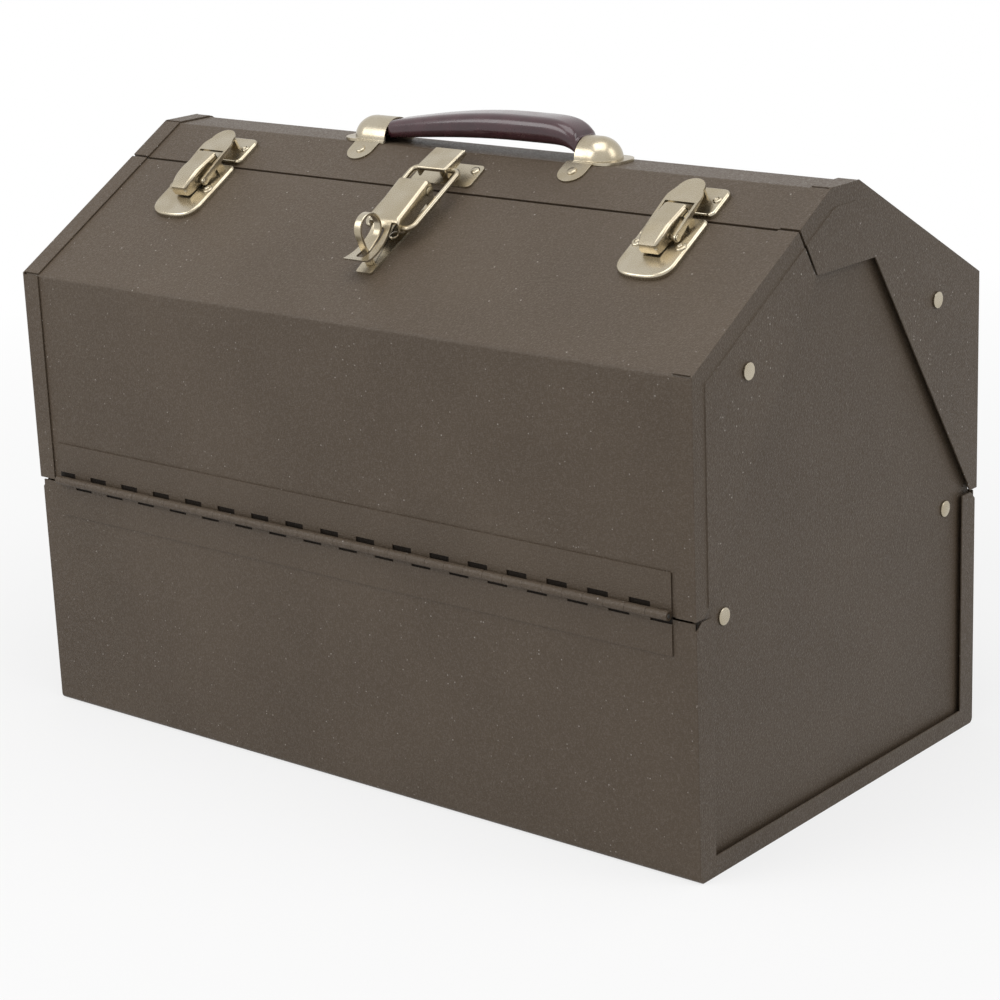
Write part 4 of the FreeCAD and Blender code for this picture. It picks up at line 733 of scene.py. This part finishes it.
def makeLeaf(node, tree, way, first, rear):
    mesh = bpy.data.meshes.new(node + "_start")
    piece = bpy.data.objects.new(node + "_piece", mesh)
    scene.collection.objects.link(piece)
    modifier = piece.modifiers.new("Hinge leaf", "NODES")
    modifier.node_group = tree
    values = {label: hingeSet[label] * millimetre for label in hingeLengths if label in hingeSet}
    values["Window High"] = hingeSet["windowOver" if way > 0 else "windowUnder"] * millimetre
    values["First Knuckle"] = float(first)
    values["Knuckles"], values["Segments"], values["Way"] = hingeSet["knuckles"], hingeSet["segments"], way
    # The sheets behind the windows take the painted window shade.
    values["Finish"], values["Window Finish"] = finishes[slotOf[node]], windowShade
    setInputs(modifier, values)
    mesh = bakeModifiers(piece)
    place = Vector((hingeSet["start"], hingeSet["wall"] - hingeSet["Barrel Off"], hingeSet["height"]))
    mesh.transform(Matrix.Translation(place * millimetre))
    if rear:
        mesh.transform(Matrix.Rotation(math.pi, 4, "Z"))
    breakEdges(piece, hingeSet["edge"], 2)
    joinFrame(piece, node)


leafTree = hingeTree()
for rear, name in ((False, "front"), (True, "rear")):
    makeLeaf("base_hinge_leaf_" + name, leafTree, -1, 0, rear)
    makeLeaf("lid_hinge_leaf_" + name, leafTree, 1, 1, rear)
print("piano hinges rolled")


# Grip: a moulded sleeve that swells to its crown and curls down at its right end.
gripSet = {
    "top": 324.916, "left": -59.6, "crown": 30.0, "right": 72.0, "leftUnder": 2.4, "leftHigh": 9.8,
    "crownUnder": 7.6, "crownHigh": 14.1, "fall": 8.5, "curl": 6.1, "wide": 22.0, "endWide": 19.0,
    "corner": 0.42, "leftStations": 26, "rightStations": 30, "cornerSteps": 7, "lip": 1.2, "lipSteps": 4,
}


def gripStation(across):
    g = gripSet
    if across <= g["crown"]:
        lift = math.sin(math.radians(90) * (across - g["left"]) / (g["crown"] - g["left"]))
        under = g["leftUnder"] + (g["crownUnder"] - g["leftUnder"]) * lift
        high = g["leftHigh"] + (g["crownHigh"] - g["leftHigh"]) * lift
        return under, high, g["wide"] - (g["wide"] - g["endWide"]) * (1 - lift) ** 2
    share = (across - g["crown"]) / (g["right"] - g["crown"])
    curl = g["curl"] * share ** 9
    high = g["crownHigh"] - g["fall"] * share ** 6 + curl
    return g["crownUnder"] - curl, high, g["wide"] - (g["wide"] - g["endWide"]) * share ** 9


def gripRing(across, inset=0.0, shift=0.0):
    under, high, wide = gripStation(across)
    half, low, top = wide / 2 - inset, under + inset, under + high - inset
    corner = gripSet["corner"] * high - inset
    steps = gripSet["cornerSteps"]
    spots = cornerArc(half - corner, low + corner, corner, corner, -90, 0, steps)
    spots += cornerArc(half - corner, top - corner, corner, corner, 0, 90, steps)
    spots += cornerArc(corner - half, top - corner, corner, corner, 90, 180, steps)
    spots += cornerArc(corner - half, low + corner, corner, corner, 180, 270, steps)
    place = (across + shift) * millimetre
    return [Vector((place, y * millimetre, (gripSet["top"] + z) * millimetre)) for y, z in spots]


def makeGrip():
    g = gripSet
    lip = [math.radians(90 * i / g["lipSteps"]) for i in range(g["lipSteps"] + 1)]
    stations = [g["left"] + (g["crown"] - g["left"]) * i / g["leftStations"] for i in range(1, g["leftStations"])]
    stations += [g["crown"] + (g["right"] - g["crown"]) * (1 - (1 - i / g["rightStations"]) ** 1.6)
                 for i in range(g["rightStations"])]
    rings = [gripRing(g["left"], g["lip"] * (1 - math.sin(turn)), g["lip"] * (1 - math.cos(turn))) for turn in lip]
    rings += [gripRing(x) for x in stations if g["left"] + g["lip"] < x < g["right"] - g["lip"]]
    rings += [gripRing(g["right"], g["lip"] * (1 - math.cos(turn)), g["lip"] * (math.sin(turn) - 1)) for turn in lip]
    shape = bmesh.new()
    skinRings(shape, rings)
    bmesh.ops.recalc_face_normals(shape, faces=shape.faces)
    piece = placePiece("handle_grip_piece", meshFrom("handle_grip", shape), "handle_grip")
    shadeByAngle(piece.data, math.radians(60))
    joinFrame(piece, "handle_grip")


makeGrip()
print("grip moulded")


def dressNode(node):
    mesh = meshFrom(node, mergedShape(node))
    piece = placePiece(node + "_piece", mesh, node)
    breakEdges(piece, edgeSet[slotOf[node]])
    joinFrame(piece, node)


for node in sorted(frame["nodes"]):
    if node not in dressed:
        dressNode(node)
print("pieces dressed:", len(frame["nodes"]))


# Stage: a pale floor, which keeps the shadow, and soft studio light.
stageSet = {
    "floorHalf": 6.0, "floorShade": 0.75, "whiteNear": 0.72, "whiteFrom": 0.4, "whiteTo": 1.2,
    "ambient": 0.5,
    "lamps": [
        ("key lamp", (-0.9, -1.6, 1.3), (1.5, 1.1), 18.0),
        ("rim lamp", (1.5, 0.5, 1.2), (0.7, 1.1), 6.5),
        ("top lamp", (0.25, -0.3, 1.9), (1.5, 1.3), 16.0),
    ],
    "aim": (0.0, 0.0, 0.17),
}


def seenDirectly(tree):
    path = addNode(tree, "ShaderNodeLightPath").outputs
    first = addNode(tree, "ShaderNodeMath", {
        0: path["Is Camera Ray"], 1: path["Is Glossy Ray"]}, operation="MAXIMUM").outputs[0]
    return addNode(tree, "ShaderNodeMath", {
        0: first, 1: path["Is Transmission Ray"]}, operation="MAXIMUM").outputs[0]


def addFloor():
    half = stageSet["floorHalf"]
    mesh = bpy.data.meshes.new("floor")
    corners = [(-half, -half, 0), (half, -half, 0), (half, half, 0), (-half, half, 0)]
    mesh.from_pydata(corners, [], [(0, 1, 2, 3)])
    floor = bpy.data.objects.new("floor", mesh)
    scene.collection.objects.link(floor)
    material, tree, shader = startMaterial("pale floor")
    shade = stageSet["floorShade"]
    shader.inputs["Base Color"].default_value = (shade, shade, shade, 1)
    shader.inputs["Roughness"].default_value = 1.0
    shader.inputs["Specular IOR Level"].default_value = 0.0
    glow = addNode(tree, "ShaderNodeEmission", {"Color": (1, 1, 1, 1), "Strength": 1.0})
    place = addNode(tree, "ShaderNodeTexCoord").outputs["Object"]
    away = addNode(tree, "ShaderNodeVectorMath", {0: place}, operation="LENGTH").outputs["Value"]
    white = rescale(tree, away, stageSet["whiteFrom"], stageSet["whiteTo"], stageSet["whiteNear"], 1.0)
    share = reckon(tree, "MULTIPLY", seenDirectly(tree), white)
    mix = addNode(tree, "ShaderNodeMixShader", {0: share, 1: shader.outputs[0], 2: glow.outputs[0]})
    tree.links.new(mix.outputs[0], tree.nodes["Material Output"].inputs["Surface"])
    mesh.materials.append(material)


def addWorld():
    world = bpy.data.worlds.new("studio")
    world.use_nodes = True
    scene.world = world
    tree = world.node_tree
    strength = addNode(tree, "ShaderNodeMapRange", {
        0: seenDirectly(tree), 3: stageSet["ambient"], 4: 1.0}).outputs[0]
    background = tree.nodes["Background"]
    background.inputs["Color"].default_value = (1, 1, 1, 1)
    tree.links.new(strength, background.inputs["Strength"])


def addLamps():
    for name, place, size, power in stageSet["lamps"]:
        lamp = bpy.data.lights.new(name, "AREA")
        lamp.shape = "RECTANGLE"
        lamp.size, lamp.size_y = size
        lamp.energy = power
        holder = bpy.data.objects.new(name, lamp)
        scene.collection.objects.link(holder)
        away = Vector(place) - Vector(stageSet["aim"])
        holder.location = place
        holder.rotation_euler = away.to_track_quat("Z", "Y").to_euler()


addFloor()
addWorld()
addLamps()
print("stage set")


# Camera: where the photograph was taken from, in the case's own frame.
cameraSet = {
    "place": (0.9566, -1.1410, 0.5777), "turn": math.radians(39.89),
    "drop": math.radians(16.88), "roll": math.radians(-2.26),
    "focalPixels": 2765.6, "framePixels": 1000, "sensor": 36.0,
}


def addCamera():
    turn, drop, roll = cameraSet["turn"], cameraSet["drop"], cameraSet["roll"]
    ahead = Vector((-math.sin(turn) * math.cos(drop), math.cos(turn) * math.cos(drop), -math.sin(drop)))
    level = Vector((math.cos(turn), math.sin(turn), 0))
    rise = level.cross(ahead)
    right = level * math.cos(roll) + rise * math.sin(roll)
    top = rise * math.cos(roll) - level * math.sin(roll)
    camera = bpy.data.objects.new("camera", bpy.data.cameras.new("camera"))
    scene.collection.objects.link(camera)
    camera.matrix_world = Matrix.Translation(cameraSet["place"]) @ Matrix((right, top, -ahead)).transposed().to_4x4()
    camera.data.sensor_width = cameraSet["sensor"]
    camera.data.lens = cameraSet["focalPixels"] / cameraSet["framePixels"] * cameraSet["sensor"]
    camera.data.clip_start = 0.05
    camera.data.clip_end = 50
    scene.camera = camera


addCamera()
scene.view_settings.view_transform = "Standard"

print("scene finished")
